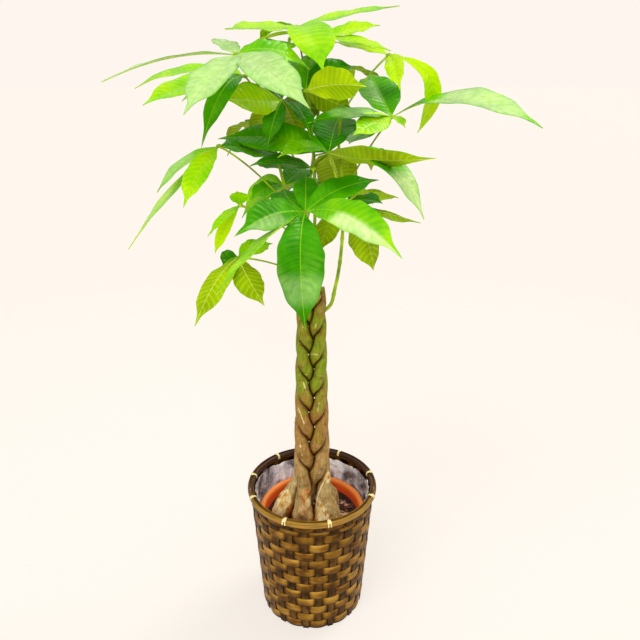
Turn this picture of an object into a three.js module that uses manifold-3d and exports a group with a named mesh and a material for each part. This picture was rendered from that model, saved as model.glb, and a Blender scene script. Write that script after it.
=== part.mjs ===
// Potted money tree: five braided stems in a nursery pot, standing in a woven bamboo basket.
// Millimetres, +Z up, origin at the centre of the basket's underside, viewer on -Y.
import * as THREE from "three";
import { mergeVertices } from "three/addons/utils/BufferGeometryUtils.js";
import Module from "manifold-3d";

const wasm = await Module();
wasm.setup();

// ---------- driving dimensions ----------
const gap = 0.3; // between pieces that touch

const basketHeight = 282;
const basketFootRadius = 105;
const basketTopRadius = 125; // where the outer hoop lies against the wall
const wallThickness = 3;
const wallTop = 279;
const wallTopRadius = basketTopRadius - 0.5;
const stakeCount = 26;
const weftRows = 14;
const weftRelief = 1.3; // a strip stands this far in front of the mean wall

const hoopHeight = 11;
const hoopThickness = 4.4;
const hoopSegments = 36;
const tieAngles = [-20, -74.6, -113.5, -157.6, 168, 128, 95, 62, 16];
const tieWidth = 8;
const tieSlot = 2; // between a tie's two prongs
const tieThickness = 1.5;
const tieHem = 3; // the prongs reach this far below the hoops
const facetRoom = 0.6; // a faceted hoop reaches past its own flats

const baseThickness = 4;
const linerTop = 256;
const linerThickness = 0.8;
const linerRoom = 1.5; // between the film and the wall

const potRimHeight = 225;
const potCollarRadius = 107;
const potCollarHeight = 10;
const potCollarRound = 3;
const potFootRadius = 76;
const potNeckRadius = 98;
const potWall = 2.5;
const drainHoleCount = 4;
const drainHoleRadius = 7;
const drainHoleRing = 45;

const soilTop = 205;
const soilMound = 2; // the soil is this much higher round the stems
const chipCount = 12;
const chipField = 80; // the bark chips lie within this radius
const chipLength = 15;
const chipWidth = 10;
const chipHeight = 8;
const chipTilt = 0.5;

const crossingHeight = 581; // where the left front strand meets the middle
const crossingPitch = 57.5; // height between two crossings from one side
const pitchGrowth = 1.6; // each crossing is this much taller than the one above
const braidFoot = 4.5; // in crossings below crossingHeight
const braidStep = 0.25;
const strandTurn = (2 * Math.PI) / 5;
const braidHalfWidth = 18.5;
const braidHalfDepth = 14.5;
const braidTaper = 1100; // the braid is twice as wide this far down
const strandRadius = 10;

const footSpread = 255; // height where a stem is halfway out to its foot
const footShoulder = 225;
const footNarrow = 175; // the roots draw in below this height
const stemFoot = 145; // the stems stand in holes down to here
const footLean = 0.95; // share of the foot's place above and below the soil

const shootRadius = 3.2;
const shootTaper = 0.35;
const petioleRadius = 1.8;
const petioleRise = 0.12; // share of its length that a petiole bows up
const hubRadius = 6;
const bladeEdge = 0.7;
const bladeMidrib = 1.5;
const foldAngle = THREE.MathUtils.degToRad(9);
const crownShare = 0.45; // how far along a leaflet its arch is highest

// ---------- finishes ----------
const weftTan = finish(0x9a6f35, 0.55);
const hoopOlive = finish(0x8f7434, 0.45);
const hoopBrown = finish(0x4a2d1b, 0.5);
const caneCream = finish(0xf0e2b4, 0.5);
const filmGrey = finish(0xc9c6cc, 0.2);
const potOrange = finish(0xe2622b, 0.4);
const soilBrown = finish(0x5b3424, 0.9);
const barkBrown = finish(0x857a45, 0.8);
const shootGreen = finish(0x6f9c22, 0.5);
const leafGreen = finish(0x3f9a1e, 0.35);
const youngGreen = finish(0x9fd022, 0.4);

function finish(color, roughness) {
  return new THREE.MeshStandardMaterial({ color, roughness, metalness: 0 });
}

// ---------- solids ----------
const tree = new THREE.Group();

function addPiece(name, solid, material) {
  const mesh = new THREE.Mesh(geometryOf(solid), material);
  mesh.name = name;
  tree.add(mesh);
}

// A closed geometry as a solid, with its faces turned outwards.
function solidOf(geometry) {
  const bare = geometry.clone();
  bare.deleteAttribute("normal");
  bare.deleteAttribute("uv");
  const merged = mergeVertices(bare, 1e-3);
  const vertProperties = merged.getAttribute("position").array;
  const triVerts = new Uint32Array(merged.index.array);
  if (signedVolume(vertProperties, triVerts) < 0) triVerts.reverse();
  return new wasm.Manifold(new wasm.Mesh({ numProp: 3, vertProperties, triVerts }));
}

function signedVolume(points, triangles) {
  const corner = (i) => new THREE.Vector3().fromArray(points, 3 * i);
  let six = 0;
  for (let i = 0; i < triangles.length; i += 3) {
    const [a, b, c] = [corner(triangles[i]), corner(triangles[i + 1]), corner(triangles[i + 2])];
    six += a.dot(b.cross(c));
  }
  return six / 6;
}

function geometryOf(solid) {
  const mesh = solid.getMesh();
  const positions = new Float32Array(mesh.numVert * 3);
  for (let i = 0; i < mesh.numVert; i++) {
    positions.set(mesh.vertProperties.subarray(i * mesh.numProp, i * mesh.numProp + 3), i * 3);
  }
  return new THREE.BufferGeometry()
    .setAttribute("position", new THREE.BufferAttribute(positions, 3))
    .setIndex(new THREE.BufferAttribute(mesh.triVerts, 1));
}

function join(solids) {
  return solids.reduce((whole, piece) => whole.add(piece));
}

// A ring or cup turned about Z from an outline of [radius, height] points.
function turned(outline, segments) {
  const points = outline.map(([radius, height]) => new THREE.Vector2(radius, height));
  return new THREE.LatheGeometry(points, segments).rotateX(Math.PI / 2);
}

// A round bar along a curve. Its radius is a function of the share of its length, and extra
// thickens and lengthens it all round.
function sweep(curve, radiusAt, sides, steps, extra = 0) {
  const geometry = new THREE.CylinderGeometry(1, 1, 1, sides, steps);
  const frames = curve.computeFrenetFrames(steps, false);
  const position = geometry.getAttribute("position");
  for (let i = 0; i < position.count; i++) {
    const step = Math.round((position.getY(i) + 0.5) * steps);
    const end = Number(step === steps) - Number(step === 0);
    const radius = radiusAt(step / steps) + extra;
    const point = curve.getPointAt(step / steps);
    point.addScaledVector(frames.tangents[step], end * extra);
    point.addScaledVector(frames.normals[step], radius * position.getX(i));
    point.addScaledVector(frames.binormals[step], radius * position.getZ(i));
    position.setXYZ(i, point.x, point.y, point.z);
  }
  return solidOf(geometry);
}

function vectors(points) {
  return points.map((point) => new THREE.Vector3(...point));
}

// The value at one place between the rows of a table of [place, value].
function mix(table, at) {
  const upper = Math.max(1, table.findIndex(([key]) => key >= at));
  const [fromKey, fromValue] = table[upper - 1];
  const [toKey, toValue] = table[upper];
  return THREE.MathUtils.mapLinear(at, fromKey, toKey, fromValue, toValue);
}

// Seeded draws from 0 to 1, so that the same plant grows each time.
function seededDraws(seed) {
  let state = seed;
  return () => {
    state = (state * 16807) % 2147483647;
    return state / 2147483647;
  };
}

// ---------- basket ----------
function wallRadius(height) {
  return THREE.MathUtils.lerp(basketFootRadius, basketTopRadius, height / basketHeight);
}

// Free radius inside the wall, at the middle of one of its facets.
function wallInside(height) {
  const radius = THREE.MathUtils.lerp(basketFootRadius, wallTopRadius, height / wallTop);
  return (radius - wallThickness) * Math.cos(Math.PI / (2 * stakeCount));
}

// The weft runs over and under the stakes in turn, one row against the next.
function basketWall() {
  const weaveTop = wallTop - hoopHeight;
  const rowHeight = weaveTop / weftRows;
  const outside = [[wallRadius(0), 0]];
  for (let row = 0; row < weftRows; row++) {
    const height = (row + 0.5) * rowHeight;
    outside.push([wallRadius(height), height]);
  }
  outside.push([wallRadius(weaveTop), weaveTop]);
  outside.push([wallTopRadius, wallTop]);
  const inside = [
    [wallTopRadius - wallThickness, wallTop],
    [wallRadius(0) - wallThickness, 0],
  ];
  const geometry = turned([...outside, ...inside, outside[0]], 2 * stakeCount);
  const position = geometry.getAttribute("position");
  const perColumn = outside.length + inside.length + 1;
  for (let i = 0; i < position.count; i++) {
    const row = (i % perColumn) - 1;
    const column = Math.floor(i / perColumn) % (2 * stakeCount);
    if (row < 0 || row >= weftRows || column % 2) continue;
    const over = (column / 2 + row) % 2 ? 1 : -1;
    const radius = Math.hypot(position.getX(i), position.getY(i));
    const scale = (radius + over * weftRelief) / radius;
    position.setXY(i, position.getX(i) * scale, position.getY(i) * scale);
  }
  return solidOf(geometry);
}

// A bent half-round hoop: its flat side is at flatRadius, and it bulges to the side.
function hoop(flatRadius, side) {
  const foot = basketHeight - hoopHeight;
  const bulge = flatRadius + side * hoopThickness;
  const shoulder = flatRadius + side * hoopThickness * 0.6;
  const outline = [
    [flatRadius, foot],
    [shoulder, foot],
    [bulge, foot + hoopHeight / 2],
    [shoulder, basketHeight],
    [flatRadius, basketHeight],
    [flatRadius, foot],
  ];
  return solidOf(turned(outline, hoopSegments));
}

const outerFlat = basketTopRadius + gap;
const innerFlat = wallInside(basketHeight - hoopHeight) - gap;

// A split-cane tie over both hoops: a U turned upside down, slit into two prongs outside.
function rimTie(angle) {
  const inside = innerFlat - hoopThickness - facetRoom;
  const outside = outerFlat + hoopThickness + gap;
  const roof = basketHeight + gap;
  const hoopFoot = basketHeight - hoopHeight;
  const outline = [
    [inside - tieThickness, hoopFoot],
    [inside - tieThickness, roof + tieThickness],
    [outside + tieThickness, roof + tieThickness],
    [outside + tieThickness, hoopFoot - tieHem],
    [outside, hoopFoot - tieHem],
    [outside, roof],
    [inside, roof],
    [inside, hoopFoot],
  ];
  const shape = new THREE.Shape(outline.map(([x, y]) => new THREE.Vector2(x, y)));
  const strap = new THREE.ExtrudeGeometry(shape, { depth: tieWidth, bevelEnabled: false });
  strap.translate(0, 0, -tieWidth / 2).rotateX(Math.PI / 2);
  const slit = new THREE.BoxGeometry(4 * tieThickness, tieSlot, hoopHeight);
  slit.translate(outside + tieThickness, 0, hoopFoot + hoopHeight / 2 - tieHem - 1);
  return solidOf(strap).subtract(solidOf(slit)).rotate([0, 0, angle]);
}

addPiece("basket_wall", basketWall(), weftTan);
addPiece("rim_outer_hoop", hoop(outerFlat, 1), hoopOlive);
addPiece("rim_inner_hoop", hoop(innerFlat, -1), hoopBrown);
tieAngles.forEach((angle, i) => addPiece(`rim_tie_${i + 1}`, rimTie(angle), caneCream));

const baseRadius = wallInside(0) - gap;
const base = new THREE.CylinderGeometry(baseRadius, baseRadius, baseThickness, stakeCount);
base.rotateX(Math.PI / 2).translate(0, 0, baseThickness / 2);
addPiece("basket_base", solidOf(base), hoopBrown);

// ---------- liner and pot ----------
function liner() {
  const floor = baseThickness + gap;
  const footRadius = baseRadius - linerRoom;
  const topRadius = wallInside(linerTop) - linerRoom;
  const outline = [
    [0, floor],
    [footRadius, floor],
    [topRadius, linerTop],
    [topRadius - linerThickness, linerTop],
    [footRadius - linerThickness, floor + linerThickness],
    [0, floor + linerThickness],
  ];
  return solidOf(turned(outline, 32));
}

const potFloor = baseThickness + linerThickness + 2 * gap;

// Outer radius of the pot's tapered body.
function potRadius(height) {
  const share = (height - potFloor) / (potRimHeight - potFloor);
  return THREE.MathUtils.lerp(potFootRadius, potNeckRadius, share);
}

function nurseryPot() {
  const collarFoot = potRimHeight - potCollarHeight;
  const outline = [
    [0, potFloor],
    [potFootRadius, potFloor],
    [potRadius(collarFoot), collarFoot],
    [potCollarRadius, collarFoot],
    [potCollarRadius, potRimHeight - potCollarRound],
    [potCollarRadius - potCollarRound, potRimHeight],
    [potNeckRadius, potRimHeight - 1],
    [potRadius(collarFoot) - potWall, collarFoot],
    [potFootRadius - potWall, potFloor + potWall],
    [0, potFloor + potWall],
  ];
  let pot = solidOf(turned(outline, 32));
  for (let i = 0; i < drainHoleCount; i++) {
    const hole = new THREE.CylinderGeometry(drainHoleRadius, drainHoleRadius, 4 * potWall, 8);
    const angle = (2 * Math.PI * i) / drainHoleCount;
    hole.rotateX(Math.PI / 2);
    hole.translate(drainHoleRing * Math.cos(angle), drainHoleRing * Math.sin(angle), potFloor);
    pot = pot.subtract(solidOf(hole));
  }
  return pot;
}

addPiece("liner", liner(), filmGrey);
addPiece("nursery_pot", nurseryPot(), potOrange);

// ---------- braided stems ----------
// Each strand runs across the front to the middle, dives, and comes round the far side.
function braidPoint(crossings, strand) {
  const height =
    crossingHeight - crossingPitch * crossings - pitchGrowth * crossings * crossings;
  const turn = strandTurn * (crossings + strand);
  const spread = 1 + (crossingHeight - height) / braidTaper;
  return new THREE.Vector3(
    braidHalfWidth * spread * Math.sin(turn),
    braidHalfDepth * spread * Math.sin(2 * turn),
    height,
  );
}

// Foot: where the swollen base stands on the soil. Swell: its radius there. Top: the cut end, in
// crossings below crossingHeight.
const stems = [
  { name: "stem_left", strand: 4, foot: [-58, 0], swell: 22, top: -2 },
  { name: "stem_middle", strand: 0, foot: [-20, -28], swell: 22, top: -1.85 },
  { name: "stem_right", strand: 2, foot: [32, -22], swell: 27, top: -1.9 },
  { name: "stem_back_left", strand: 3, foot: [-16, 40], swell: 20, top: -2.1 },
  { name: "stem_back_right", strand: 1, foot: [36, 36], swell: 20, top: -1.9 },
];

function stemCurve({ strand, foot, top }) {
  const points = [];
  for (let crossings = top; crossings <= braidFoot; crossings += braidStep) {
    points.push(braidPoint(crossings, strand));
  }
  const [x, y] = foot;
  const last = points.at(-1);
  points.push(new THREE.Vector3((last.x + x) / 2, (last.y + y) / 2, footSpread));
  points.push(new THREE.Vector3(x * footLean, y * footLean, footShoulder));
  points.push(new THREE.Vector3(x, y, soilTop));
  points.push(new THREE.Vector3(x, y, footNarrow));
  points.push(new THREE.Vector3(x * footLean, y * footLean, stemFoot));
  return new THREE.CatmullRomCurve3(points);
}

function stemRadius(height, swell) {
  return mix(
    [
      [stemFoot - 5, swell * 0.4],
      [footNarrow, swell * 0.8],
      [soilTop, swell],
      [footShoulder, swell * 0.96],
      [250, swell * 0.75],
      [285, strandRadius * 1.4],
      [450, strandRadius * 1.18],
      [640, strandRadius],
      [720, strandRadius * 0.95],
    ],
    height,
  );
}

function stem(data, extra) {
  const curve = stemCurve(data);
  const radiusAt = (share) => stemRadius(curve.getPointAt(share).z, data.swell);
  return sweep(curve, radiusAt, 6, 22, extra);
}

// Where two stems press together, the later one is flattened against the earlier one.
stems.forEach((data, i) => {
  const earlier = stems.slice(0, i);
  const pressed = earlier.reduce((rest, other) => rest.subtract(stem(other, gap)), stem(data, 0));
  addPiece(data.name, pressed, barkBrown);
});

// ---------- soil ----------
function soil() {
  const foot = potFloor + potWall + gap;
  const room = potWall + 2.5 * gap;
  const outline = [
    [0, foot],
    [potFootRadius - room, foot],
    [potRadius(soilTop) - room, soilTop],
    [chipField / 2, soilTop + soilMound],
    [0, soilTop + soilMound],
  ];
  const draw = seededDraws(7);
  let bed = solidOf(turned(outline, 24));
  for (let i = 0; i < chipCount; i++) {
    const size = 0.7 + 0.6 * draw();
    const chip = new THREE.BoxGeometry(chipLength * size, chipWidth * size, chipHeight);
    chip.rotateX(chipTilt * (draw() - 0.5)).rotateY(chipTilt * (draw() - 0.5));
    chip.rotateZ(Math.PI * draw());
    const angle = 2 * Math.PI * draw();
    const radius = chipField * Math.sqrt(draw());
    const height = soilTop + soilMound * draw();
    chip.translate(radius * Math.cos(angle), radius * Math.sin(angle), height);
    bed = bed.add(solidOf(chip));
  }
  return stems.reduce((rest, data) => rest.subtract(stem(data, gap)), bed);
}

addPiece("soil", soil(), soilBrown);

// ---------- shoots ----------
// Green shoots that rise from the cut stem tops. Points are chosen along the shoot's middle.
const shoots = {
  right: [[18, -5, 668], [32, -6, 700], [48, -30, 765], [54, -36, 805], [50, -40, 890],
    [46, -30, 950], [50, -20, 1010]],
  middle: [[2, 3, 678], [4, 4, 750], [8, 6, 850], [4, 6, 950], [-6, 4, 1040]],
  left: [[-16, -9, 680], [-27, -6, 760], [-38, -12, 850], [-52, -12, 920], [-72, 5, 990],
    [-84, 20, 1040]],
  front: [[10, -13, 684], [2, -34, 740], [-6, -54, 800], [-12, -60, 860]],
  back: [[-12, 13, 676], [-14, 40, 750], [-6, 62, 840], [6, 70, 930], [14, 66, 1000]],
};

const shootCurves = {};
for (const [name, points] of Object.entries(shoots)) {
  shootCurves[name] = new THREE.CatmullRomCurve3(vectors(points));
}

function shoot(name, extra) {
  const radiusAt = (share) => shootRadius * (1 - shootTaper * share);
  return sweep(shootCurves[name], radiusAt, 6, 8, extra);
}

for (const name of Object.keys(shoots)) {
  const grown = stems.reduce((rest, data) => rest.subtract(stem(data, gap)), shoot(name, 0));
  addPiece(`shoot_${name}`, grown, shootGreen);
}

// ---------- leaves ----------
// A closed skin over rings of the same number of points, split alike on both faces of a blade.
function skin(rings) {
  const sides = rings[0].length;
  const positions = rings.flat().flatMap((point) => point.toArray());
  const index = [];
  for (let ring = 0; ring < rings.length - 1; ring++) {
    for (let side = 0; side < sides; side++) {
      const next = (side + 1) % sides;
      const [a, b] = [ring * sides + side, ring * sides + next];
      const [c, d] = [a + sides, b + sides];
      if (side < sides / 2) index.push(a, b, c, b, d, c);
      else index.push(a, b, d, a, d, c);
    }
  }
  const last = (rings.length - 1) * sides;
  for (let side = 1; side < sides - 1; side++) {
    index.push(0, side + 1, side);
    index.push(last, last + side, last + side + 1);
  }
  return new THREE.BufferGeometry()
    .setAttribute("position", new THREE.Float32BufferAttribute(positions, 3))
    .setIndex(index);
}

// Share of the leaflet's length, and share of its half width there.
const bladeOutline = [[0, 0.05], [0.22, 0.54], [0.48, 1], [0.78, 0.72], [1, 0.03]];

// A leaflet from the hub to its tip. Arch lifts its middle, roll turns its right edge down.
function leaflet(hub, [x, y, z, arch, width, roll, sway = 0]) {
  const tip = new THREE.Vector3(x, y, z);
  const chord = tip.clone().sub(hub).normalize();
  const right = new THREE.Vector3(chord.y, -chord.x, 0).normalize();
  const lift = new THREE.Vector3().crossVectors(right, chord);
  const crown = hub.clone().lerp(tip, crownShare).addScaledVector(lift, 2 * arch);
  crown.addScaledVector(right, 2 * sway);
  const spine = new THREE.QuadraticBezierCurve3(hub, crown, tip);
  const angle = THREE.MathUtils.degToRad(roll);
  const rings = bladeOutline.map(([share, wide]) => {
    const along = spine.getTangent(share);
    const side = right.clone().addScaledVector(along, -right.dot(along)).normalize();
    side.applyAxisAngle(along, angle);
    const up = new THREE.Vector3().crossVectors(side, along);
    const reach = Math.max(1.5, (wide * width) / 2);
    const middle = spine.getPoint(share);
    const point = (across, height) =>
      middle
        .clone()
        .addScaledVector(side, across * reach * Math.cos(foldAngle))
        .addScaledVector(up, Math.abs(across) * reach * Math.sin(foldAngle) + height);
    const upper = [point(-1, bladeEdge / 2), point(0, bladeMidrib / 2), point(1, bladeEdge / 2)];
    const lower = [point(1, -bladeEdge / 2), point(0, -bladeMidrib / 2), point(-1, -bladeEdge / 2)];
    return [...upper, ...lower];
  });
  return solidOf(skin(rings));
}

function leaf({ grows, hub, leaflets }) {
  const [shootName, share] = grows;
  const top = new THREE.Vector3(...hub);
  const root = shootCurves[shootName].getPointAt(share);
  const bend = root.clone().lerp(top, 0.5);
  bend.z += petioleRise * root.distanceTo(top);
  const petiole = sweep(new THREE.QuadraticBezierCurve3(root, bend, top), () => petioleRadius, 4, 3);
  const knob = new THREE.OctahedronGeometry(hubRadius).translate(...hub);
  const grown = join([petiole, solidOf(knob), ...leaflets.map((data) => leaflet(top, data))]);
  return grown.subtract(shoot(shootName, gap));
}

// Hubs and tips are places in millimetres: [tip x, y, z, arch, width, roll in degrees].
const leaves = [
  { name: "leaf_front_low", grows: ["front", 0.9], hub: [-5, -165, 870], leaflets: [
    [0, -275, 752, 33, 66, 0, 7],
    [115, -275, 840, 32, 54, 25],
    [100, -90, 910, 10, 44, 15],
    [-35, -60, 885, 5, 50, 0],
    [0, -55, 900, 5, 30, 0],
    [-100, -245, 855, 12, 38, -25],
    [-115, -315, 800, 20, 42, 15],
  ] },
  { name: "leaf_centre", grows: ["right", 0.55], hub: [30, -60, 940], leaflets: [
    [170, -180, 945, 2, 45, -20],
    [160, -205, 875, 32, 45, 15],
    [-40, -120, 935, 12, 40, -20],
    [45, 60, 980, 10, 66, 0],
    [40, 35, 885, 5, 60, 0],
    [-145, 5, 960, 18, 42, -10],
  ] },
  { name: "leaf_right", grows: ["right", 0.62], hub: [130, -20, 990], leaflets: [
    [100, 80, 1050, 5, 58, 0],
    [310, -195, 990, 38, 42, 15],
    [5, -105, 995, 6, 40, -15],
    [150, -75, 980, 5, 20, 0],
    [65, -110, 975, 8, 45, -40],
    [70, 70, 945, 5, 45, 0],
  ] },
  { name: "leaf_right_young", young: true, grows: ["right", 0.95], hub: [120, -30, 1080], leaflets: [
    [40, 45, 1100, 5, 30, -20],
    [130, -105, 1040, 8, 34, 0],
    [175, -20, 970, 40, 42, 60],
  ] },
  { name: "leaf_top", grows: ["middle", 0.97], hub: [-20, 0, 1120], leaflets: [
    [-110, -105, 1110, 10, 42, 0],
    [20, -110, 1070, 12, 62, 0],
    [145, 75, 1155, 3, 40, 12],
    [-80, 70, 1095, 5, 30, 0],
  ] },
  { name: "leaf_top_right", grows: ["middle", 0.9], hub: [20, -15, 1105], leaflets: [
    [112, -20, 1122, 3, 34, 15],
    [130, -100, 1093, 8, 34, 10],
    [10, 80, 1095, 8, 35, 0],
  ] },
  { name: "leaf_left_high", grows: ["left", 0.97], hub: [-100, -120, 1080], leaflets: [
    [-225, -270, 1050, 26, 38, 5],
    [-145, -260, 1015, 26, 54, 0, 12],
    [5, -250, 1015, 18, 46, 15],
    [-160, -50, 1100, 5, 44, 0],
    [-15, -25, 1095, 8, 40, 20],
    [-5, -90, 1055, 12, 36, 25],
  ] },
  { name: "leaf_left", grows: ["left", 0.45], hub: [-140, -60, 950], leaflets: [
    [-230, -70, 890, 26, 36, -25],
    [-180, -140, 865, 12, 44, -20],
    [-305, -40, 780, 8, 34, -25],
    [-65, 10, 915, 10, 50, 40],
  ] },
  { name: "leaf_left_low", grows: ["front", 0.35], hub: [-115, -90, 780], leaflets: [
    [-165, -195, 705, 25, 44, -10, 5],
    [-75, -35, 795, 5, 35, 25],
    [-140, -40, 760, 5, 36, -30],
    [-70, -150, 720, 10, 48, 10, 6],
  ] },
  { name: "leaf_left_young", young: true, grows: ["front", 0.6], hub: [-110, -70, 860], leaflets: [
    [-155, -130, 825, 8, 14, 0],
    [-150, -65, 785, 5, 24, -70],
    [-170, -45, 820, 8, 20, -40],
    [-125, -35, 870, 2, 22, 0],
  ] },
  { name: "leaf_inner_left", grows: ["left", 0.3], hub: [-45, 20, 875], leaflets: [
    [-125, 65, 815, 15, 70, -50],
    [-100, -30, 860, 8, 35, -20],
    [-50, 110, 840, 8, 40, -20],
  ] },
  { name: "leaf_left_behind", grows: ["left", 0.9], hub: [-100, -20, 1050], leaflets: [
    [-285, 20, 1027, 18, 40, -25],
    [-222, -150, 1017, 18, 44, -20],
    [-215, 80, 1010, 12, 48, -30],
    [-155, -130, 955, 32, 25, -20],
  ] },
  { name: "leaf_inner_high", grows: ["left", 0.7], hub: [-45, 10, 1012], leaflets: [
    [-125, -65, 1020, 0, 56, -50],
    [-20, 55, 955, 5, 45, 0],
    [-125, 65, 945, 12, 45, 0],
  ] },
  { name: "leaf_centre_high", grows: ["middle", 0.75], hub: [-5, -50, 1030], leaflets: [
    [75, -125, 1045, 10, 48, -30],
    [75, 20, 1060, 8, 48, 20],
    [66, -55, 1008, 5, 35, 0],
  ] },
  { name: "leaf_right_low", grows: ["right", 0.35], hub: [60, 0, 850], leaflets: [
    [175, 30, 800, 15, 40, 20],
    [155, 55, 840, 12, 45, 20],
    [115, -70, 870, 5, 40, 20],
    [105, 15, 725, 15, 64, 70],
    [20, -75, 785, 8, 50, 0],
  ] },
  { name: "leaf_inner", grows: ["middle", 0.45], hub: [5, -35, 912], leaflets: [
    [-95, -65, 920, 8, 34, -15],
    [-108, 60, 905, 8, 35, -30],
  ] },
  { name: "leaf_back_high", grows: ["back", 0.95], hub: [30, 120, 1060], leaflets: [
    [70, 240, 1020, 15, 55, 0],
    [135, 165, 1030, 12, 50, 0],
    [-55, 190, 1030, 15, 52, 0],
    [-60, 90, 1040, 10, 45, 0],
  ] },
  { name: "leaf_back_left", grows: ["back", 0.6], hub: [-75, 120, 965], leaflets: [
    [-165, 170, 925, 18, 52, 0],
    [-120, 245, 925, 18, 58, 0],
    [-10, 215, 920, 15, 50, 0],
    [-150, 90, 915, 12, 45, 0],
  ] },
  { name: "leaf_back_right", grows: ["back", 0.75], hub: [100, 110, 915], leaflets: [
    [180, 165, 865, 18, 52, 0],
    [120, 240, 865, 20, 58, 0],
    [20, 195, 890, 12, 48, 0],
    [175, 65, 880, 12, 45, 0],
  ] },
  { name: "leaf_back_low", grows: ["back", 0.35], hub: [15, 160, 855], leaflets: [
    [25, 290, 780, 25, 62, 0],
    [125, 225, 800, 18, 55, 0],
    [-95, 220, 805, 18, 55, 0],
    [-80, 130, 825, 12, 45, 0],
  ] },
];

for (const data of leaves) {
  addPiece(data.name, leaf(data), data.young ? youngGreen : leafGreen);
}

export default tree;
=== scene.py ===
import math
import random

import bpy
import numpy as np
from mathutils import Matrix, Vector, noise


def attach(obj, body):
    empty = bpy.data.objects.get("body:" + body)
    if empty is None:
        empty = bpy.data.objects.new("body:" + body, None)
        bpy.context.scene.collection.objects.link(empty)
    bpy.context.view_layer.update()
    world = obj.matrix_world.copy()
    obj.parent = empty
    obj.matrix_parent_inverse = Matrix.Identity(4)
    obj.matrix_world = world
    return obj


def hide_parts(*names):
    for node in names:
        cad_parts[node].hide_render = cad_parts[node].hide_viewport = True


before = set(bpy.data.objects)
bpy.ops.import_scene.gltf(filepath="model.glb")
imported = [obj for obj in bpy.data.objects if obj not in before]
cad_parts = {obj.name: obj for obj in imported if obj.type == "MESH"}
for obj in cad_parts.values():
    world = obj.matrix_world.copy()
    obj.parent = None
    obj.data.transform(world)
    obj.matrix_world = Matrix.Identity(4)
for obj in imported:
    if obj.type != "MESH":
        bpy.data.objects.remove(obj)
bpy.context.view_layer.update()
mm = 0.001
print("stage: frame loaded,", len(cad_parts), "nodes")


# small helpers

def linearColour(hexColour, alpha=1.0):
    # sRGB hex to the linear values that Blender's sockets take
    channels = [int(hexColour[i:i + 2], 16) / 255 for i in (1, 3, 5)]
    linear = [c / 12.92 if c <= 0.04045 else ((c + 0.055) / 1.055) ** 2.4 for c in channels]
    return (*linear, alpha)


def addNode(tree, kind, values):
    # a socket is linked to the input of that name or number, "stops" fills a colour ramp, a node's own
    # property is set, and any other value is the input's own
    node = tree.nodes.new(kind)
    for key, value in values.items():
        if isinstance(value, bpy.types.NodeSocket):
            tree.links.new(value, node.inputs[key])
        elif key == "stops":
            ramp = node.color_ramp
            while len(ramp.elements) < len(value):
                ramp.elements.new(0.5)
            for element, (place, colour) in zip(ramp.elements, value):
                element.position = place
                element.color = linearColour(colour)
        elif isinstance(key, str) and hasattr(node, key):
            setattr(node, key, value)
        else:
            node.inputs[key].default_value = linearColour(value) if isinstance(value, str) else value
    return node


class Finish:
    # a material in the making: each step adds a node and gives the socket that the next one takes
    def __init__(self, name):
        self.material = bpy.data.materials.new(name)
        self.material.use_nodes = True
        self.tree = self.material.node_tree
        self.tree.nodes.clear()
        self.place = self.add("ShaderNodeTexCoord", "Object", {})

    def add(self, kind, output, values):
        return addNode(self.tree, kind, values).outputs[output]

    def mark(self, name):
        return self.add("ShaderNodeAttribute", "Fac", {"attribute_name": name})

    def axis(self, vector, letter):
        return self.add("ShaderNodeSeparateXYZ", letter, {"Vector": vector})

    def length(self, vector):
        return self.add("ShaderNodeVectorMath", "Value", {"operation": "LENGTH", 0: vector})

    def stretched(self, vector, scale, shift=(0, 0, 0)):
        return self.add("ShaderNodeMapping", "Vector", {"Vector": vector, "Scale": scale, "Location": shift})

    def noise(self, scale, detail=2, roughness=0.5, distortion=0, at=None):
        return self.add("ShaderNodeTexNoise", "Fac", {
            "Vector": at or self.place, "Scale": scale, "Detail": detail, "Roughness": roughness,
            "Distortion": distortion})

    def cells(self, scale, feature="F1"):
        return self.add("ShaderNodeTexVoronoi", "Distance",
                        {"feature": feature, "Vector": self.place, "Scale": scale})

    def maths(self, operation, *values, clamp=False):
        return self.add("ShaderNodeMath", "Value",
                        {"operation": operation, "use_clamp": clamp, **dict(enumerate(values))})

    def scaledSum(self, value, factor, other):
        return self.maths("MULTIPLY_ADD", value, factor, other)

    def fitted(self, value, before, after=(0, 1), curve="LINEAR"):
        return self.add("ShaderNodeMapRange", "Result", {
            "interpolation_type": curve, "Value": value, "From Min": before[0], "From Max": before[1],
            "To Min": after[0], "To Max": after[1]})

    def ramp(self, value, *stops):
        return self.add("ShaderNodeValToRGB", "Color", {"stops": stops, "Fac": value})

    def mixed(self, share, below, above, blend="MIX"):
        return self.add("ShaderNodeMix", 2, {"data_type": "RGBA", "blend_type": blend, 0: share, 6: below, 7: above})

    def toned(self, colour, *tones):
        for tone in tones:
            colour = self.mixed(1.0, colour, tone, "MULTIPLY")
        return colour

    def bump(self, height, strength, depth, invert=False):
        # depth in mm
        return self.add("ShaderNodeBump", "Normal",
                        {"invert": invert, "Strength": strength, "Distance": depth * mm, "Height": height})

    def done(self, values):
        shader = self.add("ShaderNodeBsdfPrincipled", "BSDF", values)
        addNode(self.tree, "ShaderNodeOutputMaterial", {"Surface": shader})
        return self.material


def selectOnly(*pieces):
    bpy.ops.object.select_all(action="DESELECT")
    for piece in pieces:
        piece.select_set(True)
    bpy.context.view_layer.objects.active = pieces[0]


def applyModifier(piece, kind, **settings):
    selectOnly(piece)
    modifier = piece.modifiers.new(kind.title(), kind)
    for key, value in settings.items():
        setattr(modifier, key, value)
    bpy.ops.object.modifier_apply(modifier=modifier.name)


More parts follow.
